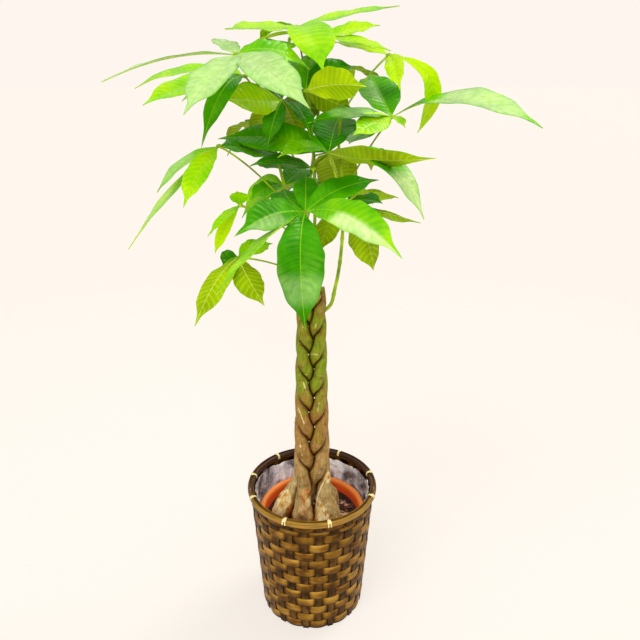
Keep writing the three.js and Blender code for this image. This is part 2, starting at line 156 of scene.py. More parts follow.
def closeSkin(piece, fill=True):
    # seam and poles merged, ends filled, faces outwards
    selectOnly(piece)
    bpy.ops.object.mode_set(mode="EDIT")
    bpy.ops.mesh.select_all(action="SELECT")
    bpy.ops.mesh.remove_doubles(threshold=0.002 * mm)
    if fill:
        bpy.ops.mesh.fill_holes(sides=0)
    bpy.ops.mesh.delete_loose()
    bpy.ops.mesh.select_all(action="SELECT")
    bpy.ops.mesh.normals_make_consistent(inside=False)
    bpy.ops.object.mode_set(mode="OBJECT")


def setAttribute(piece, name, values):
    attribute = piece.data.attributes.get(name) or piece.data.attributes.new(name, "FLOAT", "POINT")
    filled = np.broadcast_to(np.asarray(values, np.float32), len(piece.data.vertices))
    attribute.data.foreach_set("value", np.ascontiguousarray(filled))


def gridPiece(name, columns, rows, place, marks=None):
    # a grid whose corners go where place(u, v) says, in mm; its UV map keeps u and v
    # marks(u, v, points) gives what the finish reads at each corner
    bpy.ops.object.select_all(action="DESELECT")
    bpy.ops.mesh.primitive_grid_add(x_subdivisions=columns, y_subdivisions=rows, size=1)
    piece = bpy.context.object
    piece.name = name
    flat = np.zeros(len(piece.data.vertices) * 3, np.float32)
    piece.data.vertices.foreach_get("co", flat)
    flat = flat.reshape(-1, 3).astype(float)
    u, v = flat[:, 0] + 0.5, flat[:, 1] + 0.5
    placed = place(u, v)
    piece.data.vertices.foreach_set("co", (placed * mm).astype(np.float32).ravel())
    piece.data.update()
    for key, values in (marks(u, v, placed) if marks else {}).items():
        setAttribute(piece, key, values)
    return piece


def shiftUv(piece, along):
    # another stretch of the same pattern for each copy
    layer = piece.data.uv_layers.active.data
    flat = np.zeros(len(layer) * 2, np.float32)
    layer.foreach_get("uv", flat)
    flat[1::2] += along
    layer.foreach_set("uv", flat)


def joinPieces(name, pieces):
    selectOnly(*pieces)
    bpy.ops.object.join()
    pieces[0].name = name
    return pieces[0]


def finishPiece(piece, nodes=(), materials=(), smoothAngle=50):
    if materials:
        piece.data.materials.clear()
        for material in materials:
            piece.data.materials.append(material)
    selectOnly(piece)
    bpy.ops.object.transform_apply(location=True, rotation=True, scale=True)
    bpy.ops.object.shade_smooth_by_angle(angle=math.radians(smoothAngle))
    piece.data.name = piece.name
    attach(piece, "root")
    if nodes:
        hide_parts(*nodes)
    return piece


def smoothPath(points, steps):
    # centripetal curve through the points, with its steps at even distances
    knots = [np.array(point, float) for point in points]
    knots = [2 * knots[0] - knots[1]] + knots + [2 * knots[-1] - knots[-2]]
    dense = []
    share = np.linspace(0, 1, 33)[:-1, None]
    for a, b, c, d in zip(knots, knots[1:], knots[2:], knots[3:]):
        before, between, after = (np.linalg.norm(q - p) ** 0.5 for p, q in ((a, b), (b, c), (c, d)))
        leave = ((b - a) / before - (c - a) / (before + between) + (c - b) / between) * between
        arrive = ((c - b) / between - (d - b) / (between + after) + (d - c) / after) * between
        square = 3 * (c - b) - 2 * leave - arrive
        cube = 2 * (b - c) + leave + arrive
        dense.append(b + leave * share + square * share ** 2 + cube * share ** 3)
    dense = np.vstack(dense + [knots[-2][None]])
    lengths = np.concatenate([[0], np.cumsum(np.linalg.norm(np.diff(dense, axis=0), axis=1))])
    even = np.linspace(0, lengths[-1], steps + 1)
    return np.column_stack([np.interp(even, lengths, dense[:, axis]) for axis in range(3)])


def unit(vectors):
    return vectors / np.linalg.norm(vectors, axis=-1, keepdims=True)


def pathFrames(path):
    # a side and an up direction that turn as little as they can along the path
    tangents = unit(np.gradient(path, axis=0))
    side = np.cross(tangents[0], (0.3, 1, 0.1))
    sides = []
    for tangent in tangents:
        side = unit(side - tangent * side.dot(tangent))
        sides.append(side)
    sides = np.array(sides)
    return sides, np.cross(tangents, sides)


def rollTube(name, path, radiusAt, sides):
    # radiusAt(share, angle) is in mm
    steps = len(path) - 1
    across, up = pathFrames(path)

    def place(u, v):
        row = np.rint(v * steps).astype(int)
        angle = 2 * math.pi * u
        radius = radiusAt(v, angle)
        out = across[row] * np.cos(angle)[:, None] + up[row] * np.sin(angle)[:, None]
        return path[row] + out * radius[:, None]

    piece = gridPiece(name, sides, steps, place)
    closeSkin(piece)
    return piece


def roughness3d(points, scale, octaves=3):
    # soft noise from -1 to 1 at points in mm, with features about scale mm wide
    return np.array([noise.fractal(Vector(p / scale), 1.0, 2.0, octaves) for p in points])


def eased(values):
    # 0 below 0, 1 above 1, and smooth between
    values = np.clip(values, 0, 1)
    return values * values * (3 - 2 * values)


def fading(distance, reach):
    return np.exp(-(distance / reach) ** 2)


def nearness(points, place, reach):
    # 1 at the place, and less with the distance
    return fading(np.linalg.norm(points - place, axis=1), reach)


def lineDistance(points, line):
    # distance in mm from each point to a line of straight stretches, as seen from the viewer's side
    nearest = np.full(len(points), 1e9)
    line = [np.array(corner, float) for corner in line]
    sight = unit(line[0] - camera["place"])
    points = points - (points @ sight)[:, None] * sight
    line = [corner - corner.dot(sight) * sight for corner in line]
    for start, end in zip(line, line[1:]):
        stretch = end - start
        share = np.clip((points - start) @ stretch / stretch.dot(stretch), 0, 1)[:, None]
        nearest = np.minimum(nearest, np.linalg.norm(points - start - stretch * share, axis=1))
    return nearest


# camera, light and floor

camera = {
    "place": (16, -1077, 1073),
    "tilt": 22.1,     # degrees below the horizontal
    "lens": 36,
    "sensor": 36,
}
studio = {
    "paper": "#FEF5EE",
    "ambient": 0.3,
    "suns": {
        "sky": {"comesFrom": (0, 0, 1), "spread": 130, "strength": 1.2},
        "keySun": {"comesFrom": (-0.5, -0.75, 1.1), "spread": 34, "strength": 0.95},
        "backWindow": {"comesFrom": (0.6, 0.5, 0.95), "spread": 24, "strength": 0.9},
        "frontWindow": {"comesFrom": (0.08, -1, 0.54), "spread": 24, "strength": 0.95},
    },
    "floorRadius": 30,
    "floorTones": ("#9E9A95", "#9B928B"),    # by the plant, then where the floor meets the backdrop
    "floorGlow": ("#FFF8F0", 0.6),           # its share of light from behind keeps shadows faint
    "floorFade": (0.4, 2.6),
}


def buildStudio():
    bpy.ops.object.camera_add(
        location=Vector(camera["place"]) * mm,
        rotation=(math.radians(90 - camera["tilt"]), 0, 0),
    )
    viewer = bpy.context.object
    viewer.data.lens = camera["lens"]
    viewer.data.sensor_width = camera["sensor"]
    viewer.data.clip_start = 0.01
    bpy.context.scene.camera = viewer
    bpy.context.scene.view_settings.view_transform = "Standard"

    # the camera sees pale paper, and the plant is lit a little less from all round than that
    world = bpy.data.worlds.new("softStudio")
    world.use_nodes = True
    tree = world.node_tree
    tree.nodes.clear()
    around = addNode(tree, "ShaderNodeBackground", {"Color": studio["paper"], "Strength": studio["ambient"]})
    backdrop = addNode(tree, "ShaderNodeBackground", {"Color": studio["paper"]})
    seen = addNode(tree, "ShaderNodeMixShader", {
        0: addNode(tree, "ShaderNodeLightPath", {}).outputs["Is Camera Ray"],
        1: around.outputs["Background"],
        2: backdrop.outputs["Background"],
    })
    addNode(tree, "ShaderNodeOutputWorld", {"Surface": seen.outputs["Shader"]})
    bpy.context.scene.world = world

    for name, sun in studio["suns"].items():
        bpy.ops.object.light_add(type="SUN", location=Vector(sun["comesFrom"]) * 2)
        lamp = bpy.context.object
        lamp.name = name
        lamp.data.energy = sun["strength"]
        lamp.data.angle = math.radians(sun["spread"])
        lamp.rotation_euler = Vector(sun["comesFrom"]).to_track_quat("Z", "Y").to_euler()

    bpy.ops.mesh.primitive_circle_add(vertices=96, radius=studio["floorRadius"], fill_type="NGON", location=(0, 0, 0))
    floor = bpy.context.object
    floor.name = "floor"
    # seamless translucent studio paper, lit from both sides: matt, with a faint fibre,
    # and a little deeper where it runs off to the backdrop
    paper = Finish("paperFloor")
    away = paper.scaledSum(paper.noise(60, 3), 0.15, paper.length(paper.place))
    colour = paper.ramp(paper.fitted(away, studio["floorFade"]), *zip((0, 1), studio["floorTones"]))
    glow, strength = studio["floorGlow"]
    floor.data.materials.append(paper.done({
        "Base Color": colour, "Roughness": 0.95, "Specular IOR Level": 0.1,
        "Emission Color": glow, "Emission Strength": strength}))


buildStudio()
print("stage: camera, lights and floor")


# finishes

def lacqueredBamboo(name, tones, fibreScale, stainScale, grooves):
    # split bamboo, stained and lacquered: long fibres, uneven stain and a low satin shine;
    # its upper edge is lighter, a painted highlight, and its lower edge darker, a painted shade; it is darker at the
    # basket's foot, and darker under the hoops, a painted shade
    make = Finish(name)
    uv = make.add("ShaderNodeUVMap", "UV", {"uv_map": "UVMap"})
    fibre = make.noise(1, 5, 0.6, at=make.stretched(uv, (*fibreScale, 1)))
    stain = make.noise(1, 2, at=make.stretched(uv, (*stainScale, 1)))
    colour = make.ramp(make.scaledSum(fibre, 0.45, stain), *zip((0.48, 0.62, 0.74, 0.9), tones))
    # painted light across a strip: its lower edge darker, a painted shade, and its upper edge lighter, a painted
    # highlight
    edge = make.ramp(make.mark("across"), (0.0, "#3E342A"), (0.16, "#B8AEA4"), (0.45, "#D6CEC4"),
                     (0.75, "#E6E0D8"), (0.9, "#FFFFFF"), (1.0, "#E8E2DA"))
    # painted shade: a strip is darker where it dives behind a stake
    dip = make.ramp(make.mark("dip"), (0.0, "#FFFFFF"), (0.5, "#B4A898"), (1.0, "#5E5246"))
    # darker at the basket's foot, and darker on the top rows under the hoops, a painted shade
    height = make.maths("MULTIPLY", make.axis(make.place, "Z"), 1 / 0.28)
    darkFootAndRimShade = make.ramp(height, (0.0, "#4A4038"), (0.03, "#FFFFFF"), (0.82, "#FFFFFF"), (0.94, "#B8AEA4"))
    # strips are split again into narrow runs, each with its own groove
    groove = make.maths("PINGPONG", make.axis(uv, "X"), 0.5 / grooves)
    relief = make.scaledSum(groove, 2.0 if grooves > 1 else 0.0, fibre)
    return make.done({
        "Base Color": make.toned(colour, edge, dip, darkFootAndRimShade), "Roughness": make.fitted(fibre, (0, 1), (0.3, 0.5)),
        "Normal": make.bump(relief, 0.6, 0.4),
        "IOR": 1.33, "Specular IOR Level": 0.14, "Specular Tint": "#FFE2A8"})


def bentBamboo(name, pale, dark):
    # half-round bamboo rod bent into a hoop: fibres run round the basket, satin lacquer,
    # golden at the front and dark brown towards the back, a painted shade
    make = Finish(name)
    x, y, z = (make.axis(make.place, letter) for letter in "XYZ")
    flat = make.add("ShaderNodeVectorMath", "Vector", {"operation": "MULTIPLY", 0: make.place, 1: (1, 1, 0)})
    along = make.add("ShaderNodeCombineXYZ", "Vector",
                     {"X": make.maths("ARCTAN2", y, x), "Y": make.length(flat), "Z": z})
    fibre = make.noise(1, 4, 0.6, at=make.stretched(along, (3.5, 700, 700)))
    golden = make.ramp(fibre, (0.34, dark), (0.64, pale))
    shadedBack = make.ramp(fibre, (0.3, "#22130C"), (0.66, "#5A3E2C"))
    # painted shade: the hoop turns dark brown towards the back
    behind = make.fitted(make.scaledSum(make.noise(12, 3), 0.06, y), (-0.05, 0.03))
    return make.done({
        "Base Color": make.mixed(behind, golden, shadedBack), "Normal": make.bump(fibre, 0.4, 0.3),
        "Roughness": 0.4, "IOR": 1.5, "Specular IOR Level": 0.22})


def splitCane():
    # peeled rattan skin: pale ivory, smooth, with fine fibres down the strip
    make = Finish("splitCane")
    fibre = make.noise(1, 3, at=make.stretched(make.place, (1400, 1400, 120)))
    return make.done({
        "Base Color": make.ramp(fibre, (0.3, "#D2B262"), (0.6, "#F8ECB0")),
        "Normal": make.bump(fibre, 0.3, 0.15), "Roughness": 0.38})


def clearFilm():
    # blown polyethylene film: grey haze, clearer in places, with painted highlights: white along its long soft
    # creases and where it is bunched up
    make = Finish("clearFilm")
    bunch = make.noise(16, 4, distortion=1.2)
    # creases follow the level lines of slow noise, so that they run on and never form a net
    creases = []
    for scale, thin, slant in ((11, 0.016, 0.55), (27, 0.02, 0.8), (48, 0.03, 1.3)):
        slow = make.noise(scale, 1, distortion=0.6, at=make.stretched(make.place, (1, 1, slant), (scale, 0, 0)))
        apart = make.maths("ABSOLUTE", make.maths("SUBTRACT", slow, 0.5))
        creases.append(make.fitted(apart, (0, thin), (1, 0)))
    lines = creases[0]
    for crease in creases[1:]:
        lines = make.maths("MAXIMUM", lines, crease)
    # painted highlights: the creases and the bunched film are coloured white and made less clear, in place of the
    # light they reflect
    line = make.maths("MULTIPLY", lines, make.fitted(bunch, (0.46, 0.6)))
    bunchedHighlight = make.fitted(make.scaledSum(bunch, 0.5, make.mark("gathered")), (0.45, 0.75))
    lit = make.maths("MAXIMUM", line, bunchedHighlight)
    haze = make.fitted(bunch, (0.36, 0.6), (0.22, 0.86))
    colour = make.ramp(bunch, (0.38, "#989298"), (0.54, "#F4EEF6"))
    return make.done({
        "Base Color": make.mixed(lit, colour, "#FFFFFF"),
        "Alpha": make.maths("MULTIPLY_ADD", lit, 0.45, haze, clamp=True),
        "Normal": make.bump(lines, 0.6, 1.5), "Roughness": 0.14, "IOR": 1.5, "Specular IOR Level": 0.6})


def mouldedPot():
    # injection-moulded polypropylene: bright orange, soft shine; painted light: the collar is lighter where light
    # glows in it, and the wall inside is a deeper red lower down, a painted shade
    make = Finish("mouldedPot")
    # painted light: lighter up the collar, deeper red lower down
    height = make.fitted(make.axis(make.place, "Z"), (200 * mm, 225 * mm))
    colour = make.ramp(make.scaledSum(make.noise(14, 3), 0.2, height),
                       (0.1, "#E2501E"), (0.75, "#E4581E"), (0.92, "#F67426"), (1.0, "#FC9446"))
    return make.done({
        "Base Color": colour, "Normal": make.bump(make.noise(900, 2), 0.15, 0.1),
        "Roughness": 0.36, "IOR": 1.49, "Specular IOR Level": 0.35})


def dampSoil():
    # peat and bark mix: dark, matt, crumbs of 1 to 4 mm
    make = Finish("dampSoil")
    return make.done({
        "Base Color": make.ramp(make.noise(90, 6), (0.3, "#1E100B"), (0.52, "#3F2218"), (0.7, "#6B3F2C")),
        "Normal": make.bump(make.cells(260), 1, 1.5), "Roughness": 0.92})


def pineBark():
    # screened pine bark chips: reddish and split along the grain, each chip its own shade
    make = Finish("pineBark")
    grain = make.noise(420, 4, distortion=2)
    colour = make.ramp(make.scaledSum(grain, 0.45, make.mark("tone")),
                       (0.25, "#4A2418"), (0.5, "#9A5844"), (0.74, "#C88E7A"), (1.0, "#F0D6C6"))
    return make.done({"Base Color": colour, "Normal": make.bump(grain, 0.8, 0.6), "Roughness": 0.85})


def youngBark():
    # smooth pachira bark: green and waxy where it is young, brown and finely cracked lower down,
    # with cream scars, and bare ochre wood where the skin has peeled off the swollen feet
    make = Finish("youngBark")
    patches = make.noise(30, 5, 0.62)
    streak = make.noise(1, 6, 0.7, at=make.stretched(make.place, (230, 230, 40)))
    mottle = make.noise(75, 4, 0.6)
    # height with ragged edges: 0 low on the braid, 1 at the cut tops
    age = make.fitted(make.scaledSum(patches, 0.5, make.axis(make.place, "Z")), (0.45, 0.95))
    skin = make.ramp(age, (0.0, "#DCC286"), (0.14, "#BEA46A"), (0.3, "#B08A4C"), (0.45, "#A47C38"),
                     (0.58, "#9C8E2A"), (0.75, "#86A014"), (0.9, "#98961E"), (1.0, "#A0883C"))
    streakTone = make.ramp(streak, (0.3, "#665848"), (0.41, "#B4A998"), (0.5, "#EAE4DA"), (0.6, "#FFFFFF"))
    colour = make.mixed(0.6, skin, streakTone, "MULTIPLY")
    # corky flecks, 4 mm apart, on some of the skin
    flecks = make.maths("MULTIPLY", make.fitted(make.cells(240), (0.12, 0.26), (1, 0)),
                        make.fitted(mottle, (0.5, 0.68), (0, 0.7)))
    colour = make.mixed(flecks, colour, "#E6CC8E")
    colour = make.mixed(make.fitted(mottle, (0.36, 0.46), (0.6, 0)), colour, "#6E4E24")
    # bare wood, cream or orange
    orangeWood = make.ramp(mottle, (0.3, "#8E4A16"), (0.45, "#BE7428"), (0.56, "#DC9C48"), (0.68, "#EEC886"))
    creamWood = make.ramp(mottle, (0.28, "#9C6420"), (0.36, "#D8A44C"), (0.45, "#F0CC7E"), (0.56, "#FFF0B8"))
    wood = make.mixed(0.6, make.mixed(make.mark("warm"), creamWood, orangeWood), streakTone, "MULTIPLY")
    colour = make.mixed(make.fitted(make.scaledSum(streak, 1.3, make.mark("peel")), (1.1, 1.22)), colour, wood)
    scar = make.fitted(make.scaledSum(mottle, 1.3, make.mark("scar")), (1.42, 1.8), (0, 0.95))
    colour = make.mixed(scar, colour, "#F0DC9E")
    colour = make.mixed(make.mark("cut"), colour, "#B89868")
    damp = make.fitted(make.scaledSum(mottle, 1.2, make.mark("damp")), (1.0, 1.5), (0, 0.8))
    colour = make.mixed(damp, colour, "#6A3414")
    # painted shade in the grooves, darkest where a stem presses on its neighbour
    groove = make.ramp(make.mark("groove"), (0.0, "#FFFFFF"), (0.4, "#E4D2B0"), (0.75, "#A08058"), (1.0, "#4A3624"))
    return make.done({
        "Base Color": make.toned(colour, groove), "Normal": make.bump(streak, 0.8, 1.0),
        "Roughness": 0.55, "Specular IOR Level": 0.18})


def shootSkin():
    # soft green shoot and leaf stalk: smooth skin with faint lengthwise ribs
    make = Finish("shootSkin")
    colour = make.ramp(make.noise(30, 3), (0.3, "#6E8C0A"), (0.52, "#98BC0C"), (0.72, "#C0E01A"))
    rib = make.noise(1, 2, at=make.stretched(make.place, (900, 900, 60)))
    return make.done({
        "Base Color": colour, "Normal": make.bump(rib, 0.3, 0.2), "Roughness": 0.4, "Specular IOR Level": 0.2})


leafLook = {
    "veinSlant": 1.35,    # how many vein spacings a side vein climbs to the edge
    "top": {
        "tones": [(0.0, "#1C6400"), (0.26, "#2C8C00"), (0.52, "#54B200"), (0.76, "#8CD400"), (1.0, "#BEE800")],
        "vein": ("#7CC414", 0.14), "midrib": ("#A2DA24", 0.65), "swell": 0.16,
        "roughness": (0.18, 0.34), "specular": 0.36,
    },
    # paler and yellower below: the underside's own colour, and partly a painted glow of light through the blade
    "underside": {
        "tones": [(0.0, "#547202"), (0.35, "#84A004"), (0.7, "#A8CC04"), (1.0, "#CCEA08")],
        "vein": ("#DCF05A", 0.28), "midrib": ("#DCEE68", 0.75), "swell": -0.18,
        "roughness": (0.5, 0.65), "specular": 0.08,
    },
    # the pale colour painted where a leaf reflects the light
    "bloom": "#E2F8AC",
}


def leafSkin(name, side):
    # waxy leaf blade: pinnate veins pressed into the gloss above and raised on the paler underside
    make = Finish(name)
    look = leafLook[side]
    (veinTone, veinStrength), (ribTone, ribStrength) = look["vein"], look["midrib"]
    veinPhase, tone = make.mark("vein"), make.mark("tone")
    wave = make.maths("PINGPONG", veinPhase, 0.5)
    vein = make.fitted(wave, (0, 0.13), (veinStrength, 0), "SMOOTHSTEP")
    # distance from the midrib, in mm at the foot and more towards the tip, where the rib is thin
    ribDistance = make.mark("ribDistance")
    midrib = make.fitted(ribDistance, (0.3, 1.3), (ribStrength, 0), "SMOOTHSTEP")
    cloud = make.noise(17, 4)
    # midway between two side veins the blade is lighter above, a painted highlight on the swelling, and darker below,
    # a painted shade between the raised veins
    swell = make.scaledSum(wave, look["swell"], make.scaledSum(cloud, 1.1, tone))
    blade = make.ramp(make.maths("SUBTRACT", swell, 0.55 + look["swell"] / 4), *look["tones"])
    # painted sheen: the pale reflection lies in streaks along the side veins
    alongVeins = make.add("ShaderNodeCombineXYZ", "Vector", {"X": veinPhase, "Y": ribDistance, "Z": tone})
    streak = make.noise(1, 3, 0.6, at=make.stretched(alongVeins, (1.5, 0.07, 40)))
    bloom = make.maths("MULTIPLY", make.fitted(streak, (0.36, 0.64), (0.74, 1.2)), make.mark("bloom"), clamp=True)
    pale = make.mixed(bloom, make.mixed(vein, blade, veinTone), leafLook["bloom"])
    relief = make.scaledSum(make.cells(420, "DISTANCE_TO_EDGE"), 0.3, wave)
    return make.done({
        "Base Color": make.mixed(midrib, pale, ribTone),
        "Roughness": make.fitted(cloud, (0, 1), look["roughness"]),
        "Normal": make.bump(relief, 0.5, 0.8, side == "underside"),
        "IOR": 1.45, "Specular IOR Level": look["specular"], "Specular Tint": "#E6FF70",
        "Subsurface Weight": 0.2, "Subsurface Radius": (0.75, 1.0, 0.1), "Subsurface Scale": 1.2 * mm})


weftTones = ("#4E2E0C", "#7A5218", "#9C7226", "#C6983E")
stakeTones = ("#26180A", "#422C12", "#5C401A", "#7E5C2A")
weftFinish = lacqueredBamboo("tanBambooStrip", weftTones, (30, 20), (19, 0.9), 1)
stakeFinish = lacqueredBamboo("darkBambooStake", stakeTones, (12, 8), (0.6, 10), 3)
outerHoopFinish = bentBamboo("oliveBambooHoop", "#B4882C", "#7A5816")
innerHoopFinish = bentBamboo("brownBambooHoop", "#9C7426", "#5E4214")
caneFinish = splitCane()
filmFinish = clearFilm()
potFinish = mouldedPot()
soilFinish = dampSoil()
chipFinish = pineBark()
barkFinish = youngBark()
shootFinish = shootSkin()
leafTopFinish = leafSkin("waxyLeafTop", "top")
leafUnderFinish = leafSkin("paleLeafUnderside", "underside")
print("stage: finishes")


# basket wall

basket = {
    "height": 282,
    "footRadius": 105,
    "topRadius": 125,
    "wallTop": 279,
    "stakes": 26,
    "rows": 14,
    "hoopHeight": 11,
    "hoopThickness": 4.4,
    "tightRows": 2,        # pressed together under the hoops
    "tightRow": 11,
    "stripThickness": 1.2,
    "stripGap": 0.9,
    "stripCrown": 1.1,     # how far a strip's edges lie behind its middle
    "stripWobble": ((3, 0.5), (7, 0.35)),
    "weftSwing": 1.3,      # in front of and behind the middle of the wall
    "stakeSwing": 0.4,
    "stakeThickness": 1.1,
    "stakeFoot": 0.4,
    "wallMiddle": 1.0,     # middle of the wall behind its outer face
    "stakeWidth": 14,
    "clampedThickness": 3.4,
    "clampedInset": 2.1,
}
weaveTop = basket["wallTop"] - basket["hoopHeight"]
looseRows = basket["rows"] - basket["tightRows"]
rowFeet = np.concatenate([
    np.linspace(0, weaveTop - basket["tightRows"] * basket["tightRow"], looseRows + 1),
    weaveTop - basket["tightRow"] * np.arange(basket["tightRows"])[::-1],
])
rowMiddles = (rowFeet[1:] + rowFeet[:-1]) / 2


def wallRadius(height):
    return basket["footRadius"] + (basket["topRadius"] - basket["footRadius"]) * height / basket["height"]


def ringPoint(radius, angle, height):
    return np.column_stack([radius * np.cos(angle), radius * np.sin(angle), height])


def plainMarks(across):
    # for strips without the painted lit edge or the painted shade where a strip dips
    return lambda u, v, points: {"across": across, "dip": 0}


def weftRow(row):
    draw = random.Random(100 + row)
    phases = [draw.uniform(0, 6.28) for _ in range(2)]
    width = rowFeet[row + 1] - rowFeet[row] - basket["stripGap"]

    def place(u, v):
        angle = 2 * math.pi * u
        wobble = sum(size * np.sin(waves * angle + phase)
                     for (waves, size), phase in zip(basket["stripWobble"], phases))
        height = rowMiddles[row] + (v - 0.5) * width + wobble * min(1, width / 14)
        height = np.clip(height, 0.3, weaveTop)
        over = np.cos(angle * basket["stakes"] / 2 + math.pi * row)
        swing = basket["weftSwing"] * np.sign(over) * np.abs(over) ** 0.7
        crown = -basket["stripCrown"] * (2 * v - 1) ** 2
        return ringPoint(wallRadius(height) - basket["wallMiddle"] + swing + crown, angle, height)

    def marks(u, v, points):
        # the first mark carries the painted highlight and shade across the strip, the second the painted shade where
        # it dives behind a stake
        over = np.cos(math.pi * u * basket["stakes"] + math.pi * row)
        return {"across": v, "dip": np.clip((-0.22 - over) / 0.42, 0, 1)}

    strip = gridPiece("weftStrip", basket["stakes"] * 8, 6, place, marks)
    shiftUv(strip, row * 1.37)
    closeSkin(strip, fill=False)
    applyModifier(strip, "SOLIDIFY", thickness=basket["stripThickness"] * mm, offset=0)
    return strip


def wallStake(number):
    angleMiddle = 2 * math.pi * number / basket["stakes"]
    top, foot = basket["wallTop"] - 1, basket["stakeFoot"]

    def place(u, v):
        height = foot + (top - foot) * v
        row = np.interp(height, rowMiddles, np.arange(basket["rows"]))
        over = np.cos(math.pi * (row + number))
        radius = wallRadius(height) - basket["wallMiddle"] - basket["stakeSwing"] * over
        width = basket["stakeWidth"] * wallRadius(height) / basket["topRadius"]
        return ringPoint(radius, angleMiddle + (u - 0.5) * width / radius, height)

    stake = gridPiece("wallStake", 4, basket["rows"] * 6, place, plainMarks(0.5))
    shiftUv(stake, number * 0.73)
    applyModifier(stake, "SOLIDIFY", thickness=basket["stakeThickness"] * mm, offset=0)
    return stake


def clampedEdge():
    # the top of the wall, squeezed flat between the two hoops
    def place(u, v):
        height = weaveTop - 1 + (basket["wallTop"] - weaveTop + 1) * v
        radius = wallRadius(basket["height"]) - basket["clampedInset"]
        return ringPoint(np.full(len(u), radius), 2 * math.pi * u, height)

    edge = gridPiece("clampedEdge", basket["stakes"] * 4, 2, place, plainMarks(0.9))
    closeSkin(edge, fill=False)
    applyModifier(edge, "SOLIDIFY", thickness=basket["clampedThickness"] * mm, offset=0)
    return edge


def buildBasket():
    strips = [weftRow(row) for row in range(basket["rows"])]
    weft = joinPieces("weft_rows", strips + [clampedEdge()])
    finishPiece(weft, ["basket_wall"], [weftFinish])
    stakes = joinPieces("wall_stakes", [wallStake(number) for number in range(basket["stakes"])])
    finishPiece(stakes, ["basket_wall"], [stakeFinish])


buildBasket()
print("stage: basket wall")


# rim hoops and their ties

rim = {
    "outerFlat": 125.3,
    "innerFlat": 120.4,
    "innerBulge": 3.2,
    "tieAngles": [-20, -74.6, -113.5, -157.6, 168, 128, 95, 62, 16],
    "tieWidth": 7.6,
    "tieSlot": 2.4,
    "tieThickness": 0.7,
    "tieClearance": 0.4,
    "tieSteps": 30,
    "tieFold": 0.6,       # how narrow a tie is folded over the inner hoop
    "tieSpread": 0.12,    # how far its two prongs open
}


def spunRing(name, outline, steps):
    # a closed outline of (radius, height) points, spun about Z
    bpy.ops.object.select_all(action="DESELECT")
    bpy.ops.mesh.primitive_circle_add(vertices=len(outline), radius=0.01)
    ring = bpy.context.object
    ring.name = name
    for vertex, (radius, height) in zip(ring.data.vertices, outline):
        vertex.co = (radius * mm, 0, height * mm)
    bpy.ops.object.mode_set(mode="EDIT")
    bpy.ops.mesh.select_all(action="SELECT")
    bpy.ops.mesh.spin(steps=steps, angle=2 * math.pi, center=(0, 0, 0), axis=(0, 0, 1))
    bpy.ops.object.mode_set(mode="OBJECT")
    closeSkin(ring, fill=False)
    return ring


def buildHoop(name, flat, side, thickness, finish):
    foot, height = basket["height"] - basket["hoopHeight"], basket["hoopHeight"]
    outline = []
    for i in range(13):
        turn = math.pi * i / 12
        bulge = thickness * math.sin(turn) ** 0.6
        outline.append((flat + side * bulge, foot + height * (1 - math.cos(turn)) / 2))
    hoop = spunRing(name, outline, 144)
    finishPiece(hoop, [name], [finish], 35)


def buildTie(number, angle):
    inside = rim["innerFlat"] - rim["innerBulge"] - rim["tieClearance"]
    outside = rim["outerFlat"] + basket["hoopThickness"] + rim["tieClearance"]
    roof = basket["height"] + rim["tieThickness"] / 2
    hoopFoot = basket["height"] - basket["hoopHeight"]
    steps = rim["tieSteps"]
    path = smoothPath([
        (inside, 0, hoopFoot + 3), (inside, 0, roof - 5), (inside + 0.6, 0, roof - 2), (inside + 3, 0, roof),
        (outside - 3, 0, roof), (outside - 0.6, 0, roof - 2), (outside, 0, roof - 5), (outside, 0, hoopFoot + 1.5),
    ], steps)
    half, quarter, slot = rim["tieWidth"] / 2, rim["tieWidth"] / 4, rim["tieSlot"] / 2
    edges = np.array([-half, -quarter, -slot, slot, quarter, half])

    def place(u, v):
        point = path[np.rint(v * steps).astype(int)].copy()
        # folded narrow over the inner hoop, full width on the outer one, its prongs a little apart
        fold = rim["tieFold"]
        spread = fold + (1 - fold) * eased((v - 0.42) / 0.08) + rim["tieSpread"] * np.clip(v - 0.7, 0, 1)
        point[:, 1] = edges[np.rint(u * 5).astype(int)] * spread
        return point

    tie = gridPiece(f"rim_tie_{number}", len(edges) - 1, steps, place)
    # the slot between the prongs
    selectOnly(tie)
    bpy.ops.object.mode_set(mode="EDIT")
    bpy.ops.mesh.select_all(action="DESELECT")
    bpy.ops.object.mode_set(mode="OBJECT")
    for face in tie.data.polygons:
        x, y, z = face.center / mm
        face.select = abs(y) < 0.4 and x > outside - 2 and z < roof - 2
    bpy.ops.object.mode_set(mode="EDIT")
    bpy.ops.mesh.delete(type="FACE")
    bpy.ops.object.mode_set(mode="OBJECT")
    applyModifier(tie, "SOLIDIFY", thickness=rim["tieThickness"] * mm, offset=0)
    applyModifier(tie, "BEVEL", width=0.35 * mm, segments=2, limit_method="ANGLE", angle_limit=math.radians(50))
    tie.rotation_euler = (0, 0, math.radians(angle))
    finishPiece(tie, [f"rim_tie_{number}"], [caneFinish])


buildHoop("rim_outer_hoop", rim["outerFlat"], 1, basket["hoopThickness"], outerHoopFinish)
buildHoop("rim_inner_hoop", rim["innerFlat"], -1, rim["innerBulge"], innerHoopFinish)
for number, angle in enumerate(rim["tieAngles"], 1):
    buildTie(number, angle)
print("stage: rim")


# base, liner and pot

